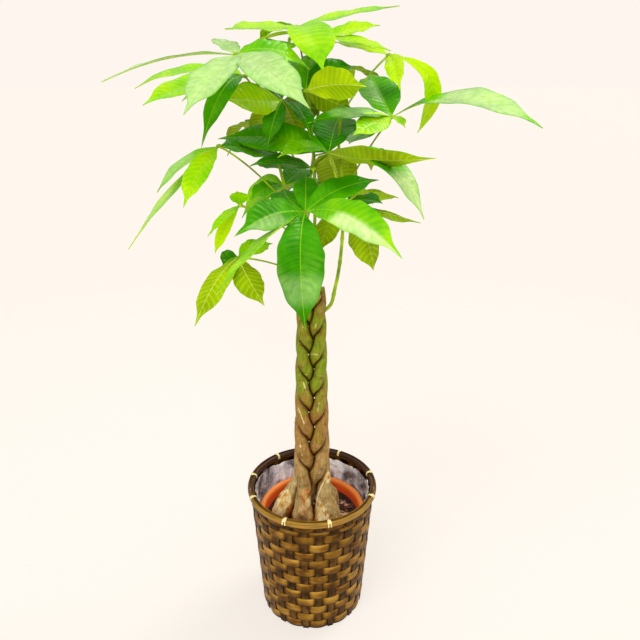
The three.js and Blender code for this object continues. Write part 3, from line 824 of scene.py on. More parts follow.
pot = {
    "floor": 5.4,
    "footRadius": 76,
    "neckRadius": 98,
    "collarRadius": 107,
    "collarHeight": 10,
    "rimHeight": 225,
    "wall": 2.5,
    "holeRadius": 7,
    "holeRing": 45,
    "holes": 4,
    "collarRound": 3.5,
}
liner = {
    "floor": 4.3,
    "footRadius": 99.5,
    "topRadius": 118.3,
    "top": 268,            # the soft edge reaches up to the inner hoop
    "thickness": 0.25,
    "crumple": 3.4,        # how deep its soft folds are
    "folds": (46, 20),     # their sizes
    "bunch": 9,            # how deep the folds are where it is gathered up
    "bunchFolds": 15,
    "bunchFoot": 228,
    "raggedEdge": [(5, 2.2, 1), (13, 1.6, 0), (29, 0.9, 2)],   # waves round the edge, height and phase
    "gathers": [(114, -24, 256, 48), (-115, -22, 240, 38), (40, 108, 258, 24)],   # place and reach
}


def potRadius(height):
    share = (height - pot["floor"]) / (pot["rimHeight"] - pot["floor"])
    return pot["footRadius"] + (pot["neckRadius"] - pot["footRadius"]) * share


def buildPot():
    collarFoot = pot["rimHeight"] - pot["collarHeight"]
    outline = [(0, pot["floor"]), (pot["footRadius"] - 2, pot["floor"]), (pot["footRadius"], pot["floor"] + 2),
               (potRadius(collarFoot), collarFoot), (pot["collarRadius"] - 0.8, collarFoot),
               (pot["collarRadius"], collarFoot + 1)]
    curve = pot["collarRound"]
    for i in range(7):
        turn = math.pi / 2 * i / 6
        outline.append((pot["collarRadius"] - curve + curve * math.cos(turn),
                        pot["rimHeight"] - curve + curve * math.sin(turn)))
    outline += [(pot["neckRadius"] + 3, pot["rimHeight"]), (pot["neckRadius"] + 0.6, pot["rimHeight"] - 0.9),
                (pot["neckRadius"] - 0.8, pot["rimHeight"] - 3),
                (potRadius(collarFoot) - pot["wall"], collarFoot),
                (pot["footRadius"] - pot["wall"], pot["floor"] + pot["wall"] + 2),
                (pot["footRadius"] - pot["wall"] - 2, pot["floor"] + pot["wall"]), (0, pot["floor"] + pot["wall"])]
    shell = spunRing("nursery_pot", outline, 128)
    for i in range(pot["holes"]):
        angle = 2 * math.pi * i / pot["holes"]
        x, y = pot["holeRing"] * math.cos(angle), pot["holeRing"] * math.sin(angle)
        bpy.ops.object.select_all(action="DESELECT")
        bpy.ops.mesh.primitive_cylinder_add(vertices=32, radius=pot["holeRadius"] * mm, depth=12 * mm,
                                            location=(x * mm, y * mm, pot["floor"] * mm))
        punch = bpy.context.object
        applyModifier(shell, "BOOLEAN", object=punch, operation="DIFFERENCE", solver="EXACT")
        bpy.data.objects.remove(punch)
    finishPiece(shell, ["nursery_pot"], [potFinish], 35)


def gatheredAt(points):
    gathered = np.zeros(len(points))
    for x, y, z, reach in liner["gathers"]:
        gathered = np.maximum(gathered, nearness(points, (x, y, z), reach))
    return gathered


def buildLiner():
    # profile from the middle of the floor, out and up to the ragged top edge
    profile = np.array([(0, liner["floor"]), (liner["footRadius"], liner["floor"]),
                        (liner["topRadius"], liner["top"])], float)
    reach = np.concatenate([[0], np.cumsum(np.linalg.norm(np.diff(profile, axis=0), axis=1))])

    def place(u, v):
        angle = 2 * math.pi * u
        at = v * reach[-1]
        radius = np.interp(at, reach, profile[:, 0])
        height = np.interp(at, reach, profile[:, 1])
        flat = ringPoint(radius, angle, height)
        wall = np.clip((height - 20) / 40, 0, 1)
        bunched = gatheredAt(flat) * wall
        large, small = liner["folds"]
        creases = np.abs(roughness3d(flat * (1, 1, 0.6), large, 2)) + 0.35 * np.abs(roughness3d(flat + 500, small, 2))
        radius = radius - wall * liner["crumple"] * (1 - np.clip(1.6 * creases, 0, 1))
        pulled = 0.35 + np.abs(roughness3d(flat * (1, 1, 1.6) + 90, liner["bunchFolds"], 2))
        radius = radius - liner["bunch"] * bunched * np.clip((height - liner["bunchFoot"]) / 12, 0, 1) * pulled
        ragged = sum(size * np.sin(waves * angle + phase) for waves, size, phase in liner["raggedEdge"])
        height = height + np.where(v > 0.999, 1, np.clip((v - 0.8) / 0.2, 0, 1)) * (ragged - 4)
        return ringPoint(radius, angle, height)

    # the gathered mark is where the finish paints the bunched film as a highlight
    film = gridPiece("liner", 240, 90, place, lambda u, v, points: {"gathered": gatheredAt(points)})
    closeSkin(film, fill=False)
    applyModifier(film, "SOLIDIFY", thickness=liner["thickness"] * mm, offset=0)
    finishPiece(film, ["liner"], [filmFinish], 60)


base = {
    "radius": 101.2,
    "strip": 15,
    "pitch": 16.5,
    "thickness": 1.3,
    "middle": 2.0,
    "swing": 0.75,
}


def buildBase():
    # split strips crossed over and under, cut round to fit inside the wall's foot
    radius, strip, pitch = base["radius"], base["strip"], base["pitch"]
    strips = []
    for layer in range(2):
        for number in range(-6, 7):
            offset = number * pitch
            if abs(offset) + strip / 2 > radius - 4:
                continue
            half = math.sqrt(radius ** 2 - (abs(offset) + strip / 2) ** 2)

            def place(u, v):
                x = (2 * v - 1) * half
                over = np.cos(math.pi * (x / pitch + number + layer))
                along = np.column_stack([x, offset + (u - 0.5) * strip, base["middle"] + base["swing"] * over])
                return along if layer == 0 else along[:, [1, 0, 2]]

            piece = gridPiece("baseStrip", 2, 96, place, plainMarks(0.5))
            shiftUv(piece, number * 0.61 + layer * 0.3)
            applyModifier(piece, "SOLIDIFY", thickness=base["thickness"] * mm, offset=0)
            strips.append(piece)
    selvedge = [(radius, 0.4), (radius, 3.6), (radius - 3, 3.9), (radius - 7, 3.6), (radius - 7, 0.4),
                (radius - 3, 0.1)]
    binding = spunRing("baseRing", selvedge, 96)
    setAttribute(binding, "across", 0.5)
    setAttribute(binding, "dip", 0)
    board = joinPieces("basket_base", strips + [binding])
    finishPiece(board, ["basket_base"], [stakeFinish], 40)


buildBase()
buildLiner()
buildPot()
print("stage: base, liner and pot")


# braided stems

braid = {
    "crossingHeight": 581,
    "pitch": 57.5,
    "pitchGrowth": 1.6,
    "foot": 4.5,
    "step": 0.25,
    "halfWidth": 18.5,
    "halfDepth": 14.5,
    "taper": 1100,
    "strandRadius": 10,
    "soilTop": 205,
    "steps": 240,
    "sides": 72,
}
bark = {
    "swollenFrom": 300,         # the feet begin to swell at this height, and are swollen this much lower
    "swollenOver": 80,
    "lumps": (26, 0.7, 2.2),    # size, height on the braid, and what the feet add to it
    "grain": (8, 0.35, 1.3),
    "grainStretch": 0.18,
    "scars": 22,
    "scarHeight": 0.8,
    "ridgeHeight": 1.9,
    "ridgeReach": 2.2,
    "grooveShadeReach": 0.62,        # how far from a neighbour's skin the painted shade starts, in its radii
}
stems = [
    {"name": "stem_left", "strand": 4, "foot": (-58, 0), "swell": 22, "top": -2},
    {"name": "stem_middle", "strand": 0, "foot": (-20, -28), "swell": 22, "top": -1.85},
    {"name": "stem_right", "strand": 2, "foot": (32, -22), "swell": 27, "top": -1.9},
    {"name": "stem_back_left", "strand": 3, "foot": (-16, 40), "swell": 20, "top": -2.1},
    {"name": "stem_back_right", "strand": 1, "foot": (36, 36), "swell": 20, "top": -1.9},
]
# places in mm on the stems: where the skin has peeled, with the reach and the warmth of each patch,
# where the foot is damp, then raised pale ridges, and pale streaks that are only colour
peelSpots = [
    (-66, -14, 228, 30, 0.15), (-74, 0, 212, 26, 0.1), (-46, -20, 222, 18, 0.9), (-56, -10, 254, 13, 0.1),
    (-10, -34, 276, 14, 0.9), (-5, -33, 262, 12, 0.3), (-20, -45, 246, 10, 0.5),
    (12, -36, 230, 19, 0), (18, -44, 214, 22, 0), (30, -14, 302, 9, 0), (46, -42, 210, 14, 0.3),
    (30, -12, 306, 8, 0.4),
]
dampSpots = [(-20, -47, 222, 22), (-38, -34, 216, 16), (-4, -40, 216, 14), (-3, -34, 272, 7), (-48, -22, 214, 12)]
ridgeLines = [
    [(32, -11, 312), (25, -19, 300), (17, -21, 282), (12, -20, 266), (8, -24, 240), (2, -26, 222)],
    [(32, -11, 312), (40, -18, 298), (47, -20, 282), (52, -22, 262)],
    [(22, -32, 258), (20, -36, 248), (17, -37, 236), (14, -36, 226)],
    [(-57, -12, 248), (-57, -18, 236), (-56, -22, 221)],
]
paleStreaks = [
    [(-15, -21, 520), (-9, -26, 500)],
    [(-26, -18, 465), (-20, -26, 453), (-14, -28, 435)],
    [(14, -26, 479), (12, -27, 460)],
    [(10, -25, 534), (22, -23, 534)],
    [(1, -20, 577), (11, -23, 577)],
    [(-60, 0, 264), (-62, -3, 250)],
    [(9, -20, 637), (8, -20, 630)],
    [(-17, -18, 631), (-13, -20, 629)],
    [(19, -8, 652), (25, -6, 652)],
    [(-22, -27, 387), (-21, -28, 383)],
    [(-19, -29, 367), (-19, -29, 364)],
]
# swellings of the feet: place, reach and height in mm
flares = [(12, -42, 214, 15, 5), (48, -38, 214, 14, 4), (-74, -10, 214, 16, 4)]


def stemPath(stem):
    points = []
    crossings = stem["top"]
    while crossings <= braid["foot"]:
        height = braid["crossingHeight"] - braid["pitch"] * crossings - braid["pitchGrowth"] * crossings ** 2
        turn = 2 * math.pi / 5 * (crossings + stem["strand"])
        spread = 1 + (braid["crossingHeight"] - height) / braid["taper"]
        points.append((braid["halfWidth"] * spread * math.sin(turn),
                       braid["halfDepth"] * spread * math.sin(2 * turn), height))
        crossings += braid["step"]
    x, y = stem["foot"]
    lastX, lastY, _ = points[-1]
    points += [((lastX + x) / 2, (lastY + y) / 2, 255), (x * 0.95, y * 0.95, 225), (x, y, braid["soilTop"]),
               (x, y, 175), (x * 0.95, y * 0.95, 145)]
    return smoothPath(points, braid["steps"])


def stemRadius(height, swell):
    thin = braid["strandRadius"]
    heights = [140, 175, 205, 225, 250, 285, 450, 640, 720]
    radii = [swell * 0.4, swell * 0.8, swell, swell * 0.96, swell * 0.75, thin * 1.4, thin * 1.18, thin, thin * 0.95]
    return np.interp(height, heights, radii)


def gapTo(points, otherPath, otherRadii):
    # distance from another stem's middle line, in its radii
    away = np.linalg.norm(points[:, None, :] - otherPath[None, ::2, :], axis=2) / otherRadii[None, ::2]
    return away.min(axis=1)


def pressed(points, middles, others):
    # where a stem meets its neighbours both are flattened, along the line halfway between them
    share = np.ones(len(points))
    for _ in range(14):
        place = middles + (points - middles) * share[:, None]
        inside = np.zeros(len(points), bool)
        for other in others:
            inside |= gapTo(place, *other) < share - 0.02
        share = np.where(inside, share - 0.04, share)
    return middles + (points - middles) * share[:, None]


def buildStem(stem, paths):
    draw = random.Random(stem["name"])
    path, radii = paths[stem["name"]]
    others = [paths[other["name"]] for other in stems if other is not stem]
    scars = [(draw.uniform(0.02, 0.78), draw.uniform(0, 2 * math.pi), draw.uniform(1.0, 2.6))
             for _ in range(bark["scars"])]
    length = np.linalg.norm(np.diff(path, axis=0), axis=1).sum()
    steps = braid["steps"]
    across, up = pathFrames(path)

    def scarAt(u, v, base):
        # leaf scars: short bands across the stem
        mark = np.zeros(len(u))
        for at, turn, size in scars:
            apart = np.arctan2(np.sin(2 * math.pi * u - turn), np.cos(2 * math.pi * u - turn)) * base
            mark = np.maximum(mark, np.exp(-(((v - at) * length / (0.7 * size)) ** 2 + (apart / (2 * size)) ** 2)))
        return mark

    def place(u, v):
        row = np.rint(v * steps).astype(int)
        angle = 2 * math.pi * u
        out = across[row] * np.cos(angle)[:, None] + up[row] * np.sin(angle)[:, None]
        base = radii[row]
        facing = eased(0.3 - out[:, 1])
        smooth = path[row] + out * base[:, None]
        swollen = np.clip((bark["swollenFrom"] - smooth[:, 2]) / bark["swollenOver"], 0, 1)
        size, height, more = bark["lumps"]
        lumps = roughness3d(smooth, size, 3) * (height + more * swollen)
        size, height, more = bark["grain"]
        grain = roughness3d(smooth * (1, 1, bark["grainStretch"]), size, 3) * (height + more * swollen)
        radius = base + lumps + grain + bark["scarHeight"] * scarAt(u, v, base)
        for line in ridgeLines:
            radius += bark["ridgeHeight"] * facing * fading(lineDistance(smooth, line), bark["ridgeReach"])
        for x, y, z, reach, swelling in flares:
            radius += swelling * nearness(smooth, (x, y, z), reach)
        return pressed(path[row] + out * radius[:, None], path[row], others)

    def marks(u, v, points):
        peel, warmth = np.zeros(len(points)), np.zeros(len(points))
        for x, y, z, reach, warm in peelSpots:
            near = np.linalg.norm((points - (x, y, z)) * (1, 1, 0.75), axis=1)
            here = np.clip(1.2 - 0.75 * near / reach, 0, 1)
            warmth = np.where(here > peel, warm, warmth)
            peel = np.maximum(peel, here)
        damp = np.zeros(len(points))
        for x, y, z, reach in dampSpots:
            damp = np.maximum(damp, nearness(points, (x, y, z), reach))
        gap = np.min([gapTo(points, *other) for other in others], axis=0)
        row = np.rint(v * steps).astype(int)
        scar = scarAt(u, v, radii[row])
        facing = eased(0.3 - (points - path[row])[:, 1] / radii[row])
        for lines, depth, reach in ((ridgeLines, 1.3, 2.1), (paleStreaks, 1.05, 2.6)):
            for line in lines:
                scar = np.maximum(scar, depth * facing * fading(lineDistance(points, line), reach))
        # the groove mark carries the painted shade between pressed stems
        return {"peel": peel, "warm": warmth, "damp": damp, "scar": scar, "cut": v < 0.001,
                "groove": np.clip((1 + bark["grooveShadeReach"] - gap) / bark["grooveShadeReach"], 0, 1)}

    piece = gridPiece(stem["name"], braid["sides"], steps, place, marks)
    closeSkin(piece)
    finishPiece(piece, [stem["name"]], [barkFinish], 55)


def buildStems():
    paths = {}
    for stem in stems:
        path = stemPath(stem)
        paths[stem["name"]] = (path, stemRadius(path[:, 2], stem["swell"]))
    for stem in stems:
        buildStem(stem, paths)


buildStems()
print("stage: stems")


# soil with its bark chips and fine roots

soil = {
    "top": 205,
    "foot": 8.3,
    "mound": 2,
    "backDrop": 15,
    "crumbs": (14, 2.2),          # size and height
    "chips": 460,
    "chipEdge": 8,                # how far they keep from the pot's wall
    "chipSizes": (3.5, 10.5),
    "chipWidths": (0.45, 0.8),    # in the chip's length, and so are the heights
    "chipHeights": (0.22, 0.42),
    "chipTilt": 0.6,
    "chipLumps": 0.22,
    "chipTones": (0.12, 0.7),
    "heap": (66, -36, 32),        # middle and reach of the place where chips lie deepest
    "heapShare": 0.5,
    "heapHeight": 14,
    "heapTone": 0.2,
    "roots": 22,
    "rootFoot": (32, -22, 27),    # place and radius of the right stem
    "rootFan": (-1.25, 0.45),     # from and to, in radians about Z
    "rootStarts": (4, 26),        # above the soil
    "rootLengths": (7, 24),
    "rootRadius": (0.8, 0.45),    # and what it loses towards the tip
}


def soilHeight(x, y):
    # the bed is highest at the front right and falls away to the back and the left
    away = eased((y * 0.8 - x * 0.45 + 26) / 62)
    return soil["top"] + soil["mound"] * (1 - np.hypot(x, y) / potRadius(soil["top"])) - soil["backDrop"] * away


def buildSoil():
    edge = potRadius(soil["top"]) - pot["wall"] - 0.6
    side = [(0, soil["foot"]), (pot["footRadius"] - pot["wall"] - 0.8, soil["foot"]), (edge, soil["top"] - 1.5)]
    surface = [(edge * (1 - i / 44), soil["top"] + soil["mound"] * min(1, i / 22)) for i in range(1, 45)]
    profile = np.array(side + surface, float)
    rows = len(profile) - 1

    def place(u, v):
        row = np.rint(v * rows).astype(int)
        point = ringPoint(profile[row, 0], 2 * math.pi * u, profile[row, 1])
        onTop = np.clip((row - 2) / 3, 0, 1) * np.clip((point[:, 2] - 150) / 20, 0, 1)
        size, height = soil["crumbs"]
        level = soilHeight(point[:, 0], point[:, 1]) + height * roughness3d(point * (1, 1, 0), size, 4) - 1.0
        point[:, 2] += onTop * (level - point[:, 2])
        return point

    bed = gridPiece("soil", 120, rows, place)
    closeSkin(bed)
    finishPiece(bed, ["soil"], [soilFinish], 70)


def buildChips():
    draw = random.Random(11)
    # without a seed of its own noise_vector takes one from the clock
    noise.seed_set(11)
    patterns = []
    for i in range(5):
        bpy.ops.object.select_all(action="DESELECT")
        bpy.ops.mesh.primitive_ico_sphere_add(subdivisions=2, radius=0.5)
        pattern = bpy.context.object
        for vertex in pattern.data.vertices:
            offset = noise.noise_vector(vertex.co * 2.2 + Vector((7 * i, 0, 0)))
            vertex.co += offset * soil["chipLumps"]
            vertex.co.z = round(vertex.co.z * 3) / 3 * 0.9 + vertex.co.z * 0.1
        patterns.append(pattern)
    chips = []
    edge = potRadius(soil["top"]) - pot["wall"] - soil["chipEdge"]
    tilt = soil["chipTilt"]
    feet = [(stem["foot"], stem["swell"]) for stem in stems]
    while len(chips) < soil["chips"]:
        angle, radius = draw.uniform(0, 2 * math.pi), edge * math.sqrt(draw.random())
        x, y = radius * math.cos(angle), radius * math.sin(angle)
        heaped = draw.random() < soil["heapShare"]
        if heaped:
            heapX, heapY, reach = soil["heap"]
            x, y = heapX + x * reach / edge, heapY + y * reach / edge
        if math.hypot(x, y) > edge:
            continue
        if any(math.hypot(x - fx, y - fy) < swell - 2 for (fx, fy), swell in feet):
            continue
        size = draw.uniform(*soil["chipSizes"])
        chip = draw.choice(patterns).copy()
        chip.data = chip.data.copy()
        bpy.context.collection.objects.link(chip)
        chip.scale = (size * mm, size * draw.uniform(*soil["chipWidths"]) * mm,
                      size * draw.uniform(*soil["chipHeights"]) * mm)
        chip.rotation_euler = (draw.uniform(-tilt, tilt), draw.uniform(-tilt, tilt), draw.uniform(0, 6.28))
        height = soilHeight(x, y) + draw.uniform(0.5, 3)
        height += heaped * draw.uniform(0, soil["heapHeight"]) * (1 - radius / edge)
        chip.location = Vector((x, y, height)) * mm
        setAttribute(chip, "tone", draw.uniform(*soil["chipTones"]) + soil["heapTone"] * heaped)
        chips.append(chip)
    for pattern in patterns:
        bpy.data.objects.remove(pattern)
    selectOnly(*chips)
    bpy.ops.object.transform_apply(location=True, rotation=True, scale=True)
    heap = joinPieces("bark_chips", chips)
    finishPiece(heap, [], [chipFinish], 30)


def buildRoots():
    # fine pale roots that fan out of the right stem's foot into the bark
    draw = random.Random(5)
    footX, footY, reach = soil["rootFoot"]
    thick, taper = soil["rootRadius"]
    threads = []
    for _ in range(soil["roots"]):
        angle = draw.uniform(*soil["rootFan"])
        out = np.array((math.cos(angle), math.sin(angle), 0))
        start = np.array((footX, footY, soil["top"] + draw.uniform(*soil["rootStarts"]))) + out * (reach - 1.5)
        end = start + out * draw.uniform(*soil["rootLengths"])
        end[2] = soil["top"] + draw.uniform(2, 5)
        bend = (start + end) / 2 + (draw.uniform(-4, 4), draw.uniform(-4, 4), draw.uniform(2, 6))
        threads.append(rollTube("root", smoothPath([start, bend, end], 12),
                                lambda share, angle: thick - taper * share, 6))
    roots = joinPieces("fine_roots", threads)
    for mark, value in (("peel", 1), ("warm", 0.3), ("damp", 0), ("scar", 0.4), ("cut", 0), ("groove", 0)):
        setAttribute(roots, mark, value)
    finishPiece(roots, [], [barkFinish])


buildSoil()
buildChips()
buildRoots()
print("stage: soil")


# green shoots

shoots = {
    "right": [(20, -5, 652), (35, -8, 668), (42, -15, 699), (48, -24, 735), (52, -32, 775), (54, -38, 820),
              (52, -40, 890), (46, -30, 950), (50, -20, 1010)],
    "middle": [(2, 3, 678), (4, 4, 750), (8, 6, 850), (4, 6, 950), (-6, 4, 1040)],
    "left": [(-16, -9, 680), (-27, -6, 760), (-38, -12, 850), (-52, -12, 920), (-72, 5, 990), (-84, 20, 1040)],
    "front": [(10, -13, 684), (2, -34, 740), (-6, -54, 800), (-12, -60, 860)],
    "back": [(-12, 13, 676), (-14, 40, 750), (-6, 62, 840), (6, 70, 930), (14, 66, 1000)],
}
shootLook = {
    "steps": 120,
    "radius": 3.2,
    "taper": 0.35,
    "jointHeight": 0.7,
    "joints": [0.12, 0.3, 0.42, 0.55, 0.68, 0.8, 0.9, 0.97],   # swollen where leaf stalks leave or have left
}
shootPaths = {name: smoothPath(points, shootLook["steps"]) for name, points in shoots.items()}


def buildShoot(name, path):
    def radiusAt(share, angle):
        radius = shootLook["radius"] * (1 - shootLook["taper"] * share) * (1 + 0.1 * np.cos(3 * angle))
        for at in shootLook["joints"]:
            radius = radius + shootLook["jointHeight"] * fading(share - at, 0.012)
        return radius * np.where(share > 0.995, 0.6, 1)

    shoot = rollTube(f"shoot_{name}", path, radiusAt, 14)
    finishPiece(shoot, [f"shoot_{name}"], [shootFinish])


for name, path in shootPaths.items():
    buildShoot(name, path)
print("stage: shoots")


# leaves

bladeLook = {
    "columns": 14,
    "rows": 72,
    "veinPitch": 11,
    "thickness": 0.6,
    "ribThickness": 1.5,
    "fold": 9,          # degrees that each half rises from the midrib
    "edgeWave": 1.25,
    "ripple": (2.3, 0.25),       # a faster wave on the edge, and its share
    "narrowing": (1.7, 0.022),   # the width's own wave, and its share
    "quilt": 0.45,
    "hubRadius": 4.6,
    "stalkRadius": 1.7,
}

# "sheens" say where the painted sheen, a pale reflection, shows on a leaflet: strength, from, to, and on which half,
# 0 for both;
# a leaflet is its tip, arch, width, roll and sway, its tone from dark to yellow-green, and maybe a belly
leaves = [
    {"name": "leaf_front_low", "grows": ("front", 0.9), "hub": (-5, -165, 870),
     "sheens": {0: (0.24, 0.62, 0.9, 0), 1: (0.8, 0.33, 1.02, 1), 5: (0.3, 0.35, 0.9, -1)}, "leaflets": [
        (-4, -275, 735, 42, 65, -8, 6, 0.27, 1.18),
        (123, -277, 834, 26, 52, 33, 4, 0.66),
        (106, -92, 904, 10, 48, 23, -4, 0.34),
        (-41, -60, 885, 1, 54, -8, -8, 0.25),
        (-6, -53, 906, 5, 38, 0, 0, 0.25),
        (-96, -259, 859, 12, 50, -38, 0, 0.3, 0.84),
        (-115, -315, 800, 12, 44, 27, 0, 0.78),
    ]},
    {"name": "leaf_centre", "grows": ("right", 0.55), "hub": (30, -60, 940),
     "sheens": {1: (0.75, 0.6, 1.1, 0)}, "leaflets": [
        (172, -198, 951, -4, 56, -36, 12, 0.6),
        (167, -164, 859, 39, 52, 7, 0, 0.5, 1.24),
        (-46, -118, 941, 12, 40, -20, 0, 0.7),
        (51, 62, 986, 10, 70, 0, 0, 0.2),
        (40, 33, 879, 1, 60, 0, 0, 0.4),
        (-151, 3, 954, 12, 62, -38, 0, 0.46, 0.92),
        (-53, -4, 932, 10, 56, -10, 0, 0.32),
        (56, 38, 841, 10, 68, -16, 0, 0.35),
    ]},
    {"name": "leaf_right", "grows": ("right", 0.62), "hub": (130, -20, 990),
     "sheens": {0: (0.15, 0.2, 0.8, -1), 1: (0.6, 0.3, 0.95, 0), 2: (0.25, 0.2, 0.8, 0)}, "leaflets": [
        (99, 72, 1054, 5, 68, -8, -4, 0.48),
        (307, -209, 991, 32, 67, 15, -4, 0.58),
        (-1, -107, 989, 9, 44, -17, 0, 0.34, 1.08),
        (144, -77, 979, 5, 18, 0, 0, 1.0),
        (64, -108, 971, 4, 40, -38, 0, 0.85),
        (66, 66, 938, 5, 66, 180, -4, 0.45, 1.16),
        (65, 46, 952, 8, 30, 0, 0, 0.35),
    ]},
    {"name": "leaf_right_young", "young": True, "grows": ("right", 0.95), "hub": (120, -30, 1080), "leaflets": [
        (34, 45, 1100, 5, 34, -20, 0, 1.0),
        (129, -122, 1033, 8, 29, 35, 0, 1.0, 0.92),
        (169, -36, 967, 45, 31, 56, 12, 1.0, 1.35),
    ]},
    {"name": "leaf_top", "grows": ("middle", 0.97), "hub": (-20, 0, 1120), "leaflets": [
        (-114, -119, 1113, 0, 45, -18, 4, 0.85, 0.95),
        (20, -115, 1059, 20, 66, 8, 0, 0.8, 1.08),
        (145, 75, 1155, 3, 40, 12, 0, 0.8),
        (-86, 72, 1101, 13, 30, 5, 0, 0.7, 1.08),
        (-40, 0, 1073, 2, 36, 0, 0, 0.85),
    ]},
    {"name": "leaf_top_right", "grows": ("middle", 0.9), "hub": (20, -15, 1105), "leaflets": [
        (106, -20, 1122, 3, 36, 30, -4, 0.85),
        (119, -68, 1086, 4, 38, 12, 4, 0.85),
        (10, 80, 1095, 8, 35, 0, 0, 0.7),
        (-109, 86, 1092, 13, 30, 0, 0, 0.95),
    ]},
    {"name": "leaf_left_high", "grows": ("left", 0.97), "hub": (-100, -120, 1080),
     "sheens": {number: (0.58, -0.2, 1.2, 0) for number in range(4)}, "leaflets": [
        (-261, -212, 1048, 12, 24, 5, 4, 0.5, 0.92),
        (-150, -262, 1012, 10, 60, 0, -6, 0.5),
        (4, -284, 1020, 14, 54, 23, 8, 0.5, 1.08),
        (-140, -48, 1103, 3, 36, 0, 0, 0.5, 0.9),
        (-9, -25, 1095, 4, 40, 20, 0, 0.7),
        (1, -88, 1061, 16, 40, 33, 2, 0.6),
    ]},
    {"name": "leaf_left", "grows": ("left", 0.45), "hub": (-140, -60, 950),
     "sheens": {0: (0.3, 0.3, 0.95, 0), 2: (0.35, 0.4, 1.1, 0)}, "leaflets": [
        (-240, -73, 881, 11, 34, -17, 4, 0.72, 1.16),
        (-186, -138, 871, 8, 38, -17, 2, 0.85, 0.99),
        (-305, -40, 780, 8, 34, -25, 0, 0.85),
        (-47, 22, 924, 3, 54, 28, 0, 0.5),
    ]},
    {"name": "leaf_left_low", "grows": ("front", 0.2), "hub": (-115, -90, 780), "leaflets": [
        (-171, -195, 704, 19, 44, 178, -5, 0.6, 1.02),
        (-63, -37, 789, 5, 36, 25, -2, 0.6),
        (-139, -100, 768, 4, 34, -60, 0, 0.12),
        (-70, -150, 720, 10, 48, 187, 9, 0.45, 1.07),
    ]},
    {"name": "leaf_left_young", "young": True, "grows": ("front", 0.6), "hub": (-110, -70, 860), "leaflets": [
        (-155, -130, 825, 8, 18, -5, -4, 0.85),
        (-155, -73, 781, 5, 20, -70, 0, 1.0, 1.16),
        (-164, -50, 809, 4, 16, -40, 0, 1.0),
        (-117, -51, 879, 2, 30, 0, 0, 0.85),
    ]},
    {"name": "leaf_inner_left", "grows": ("left", 0.3), "hub": (-45, 20, 875), "leaflets": [
        (-125, 63, 809, 15, 66, -50, 8, 0.65),
        (-100, -30, 860, 8, 35, -20, 0, 0.4),
        (-50, 110, 840, 8, 40, -20, 0, 0.4),
        (6, 94, 889, 8, 54, 8, 0, 0.45),
    ]},
    {"name": "leaf_left_behind", "grows": ("left", 0.9), "hub": (-100, -20, 1050), "leaflets": [
        (-283, 19, 1031, 18, 38, -20, -8, 0.8, 1.16),
        (-228, -150, 1016, 9, 48, -20, 4, 0.8, 1.16),
        (-221, 80, 1008, 10, 62, -45, 0, 0.85),
        (-155, -130, 955, 32, 30, -36, -9, 0.3, 0.95),
        (-43, 78, 1029, 8, 40, 0, 0, 0.1),
    ]},
    {"name": "leaf_inner_high", "grows": ("left", 0.7), "hub": (-45, 10, 1012), "leaflets": [
        (-131, -65, 1020, 0, 60, -50, 0, 0.95),
        (-20, 53, 949, 5, 56, 0, 0, 0.4),
        (-106, 70, 948, 12, 45, 0, 4, 0.6),
        (0, 98, 958, 25, 68, -29, 4, 0.3, 0.92),
        (2, -84, 966, 14, 40, -12, -4, 0.25),
        (-64, -67, 951, 8, 34, 0, 0, 0.3),
        (-81, 68, 1042, 5, 36, 0, 0, 0.1),
    ]},
    {"name": "leaf_centre_high", "grows": ("middle", 0.75), "hub": (-5, -50, 1030), "leaflets": [
        (81, -127, 1039, 6, 52, -65, 0, 0.9),
        (73, 5, 1062, 13, 40, 48, 0, 0.22),
        (67, -42, 1001, 1, 56, -53, 0, 0.35),
        (-43, 34, 1079, 6, 45, 0, 0, 0.5),
        (5, 34, 1084, 10, 34, 0, 0, 0.5),
    ]},
    {"name": "leaf_right_low", "grows": ("right", 0.35), "hub": (60, 0, 850), "leaflets": [
        (191, 18, 810, -1, 36, 192, -6, 0.5, 1.08),
        (155, 57, 846, 12, 41, 197, 0, 0.6, 1.08),
        (115, -72, 864, 5, 40, 20, 0, 0.3),
        (112, 24, 722, 15, 77, -110, -10, 0.45, 1.27),
        (14, -76, 783, 12, 46, 180, 1, 0.62, 1.23),
        (125, 62, 840, 8, 40, 0, 0, 0.15),
    ]},
    {"name": "leaf_inner", "grows": ("middle", 0.45), "hub": (5, -35, 912), "leaflets": [
        (-95, -65, 920, 12, 38, -15, 0, 0.25),
        (-102, 60, 905, 4, 35, -22, -4, 0.3),
    ]},
    {"name": "leaf_back_high", "grows": ("back", 0.95), "hub": (30, 120, 1060), "leaflets": [
        (70, 240, 1020, 15, 55, 0, 0, 0.5),
        (135, 165, 1030, 12, 50, 0, 0, 0.4),
        (-55, 190, 1030, 15, 52, 0, 0, 0.45),
        (-60, 90, 1040, 10, 45, 0, 0, 0.35),
    ]},
    {"name": "leaf_back_left", "grows": ("back", 0.6), "hub": (-75, 120, 965), "leaflets": [
        (-165, 170, 925, 18, 52, 0, 0, 0.4),
        (-120, 245, 925, 18, 58, 0, 0, 0.45),
        (-10, 215, 920, 15, 50, 0, 0, 0.35),
        (-150, 90, 915, 12, 45, 0, 0, 0.4),
    ]},
    {"name": "leaf_back_right", "grows": ("back", 0.75), "hub": (100, 110, 915), "leaflets": [
        (180, 165, 865, 18, 52, 0, 0, 0.4),
        (120, 240, 865, 20, 58, 0, 0, 0.45),
        (20, 195, 890, 12, 48, 0, 0, 0.35),
        (175, 65, 880, 12, 45, 0, 0, 0.5),
    ]},
    {"name": "leaf_back_low", "grows": ("back", 0.35), "hub": (15, 160, 855), "leaflets": [
        (25, 290, 780, 25, 62, 0, 0, 0.35),
        (125, 225, 800, 18, 55, 0, 0, 0.4),
        (-95, 220, 805, 18, 55, 0, 0, 0.4),
        (-80, 130, 825, 12, 45, 0, 0, 0.35),
    ]},
]


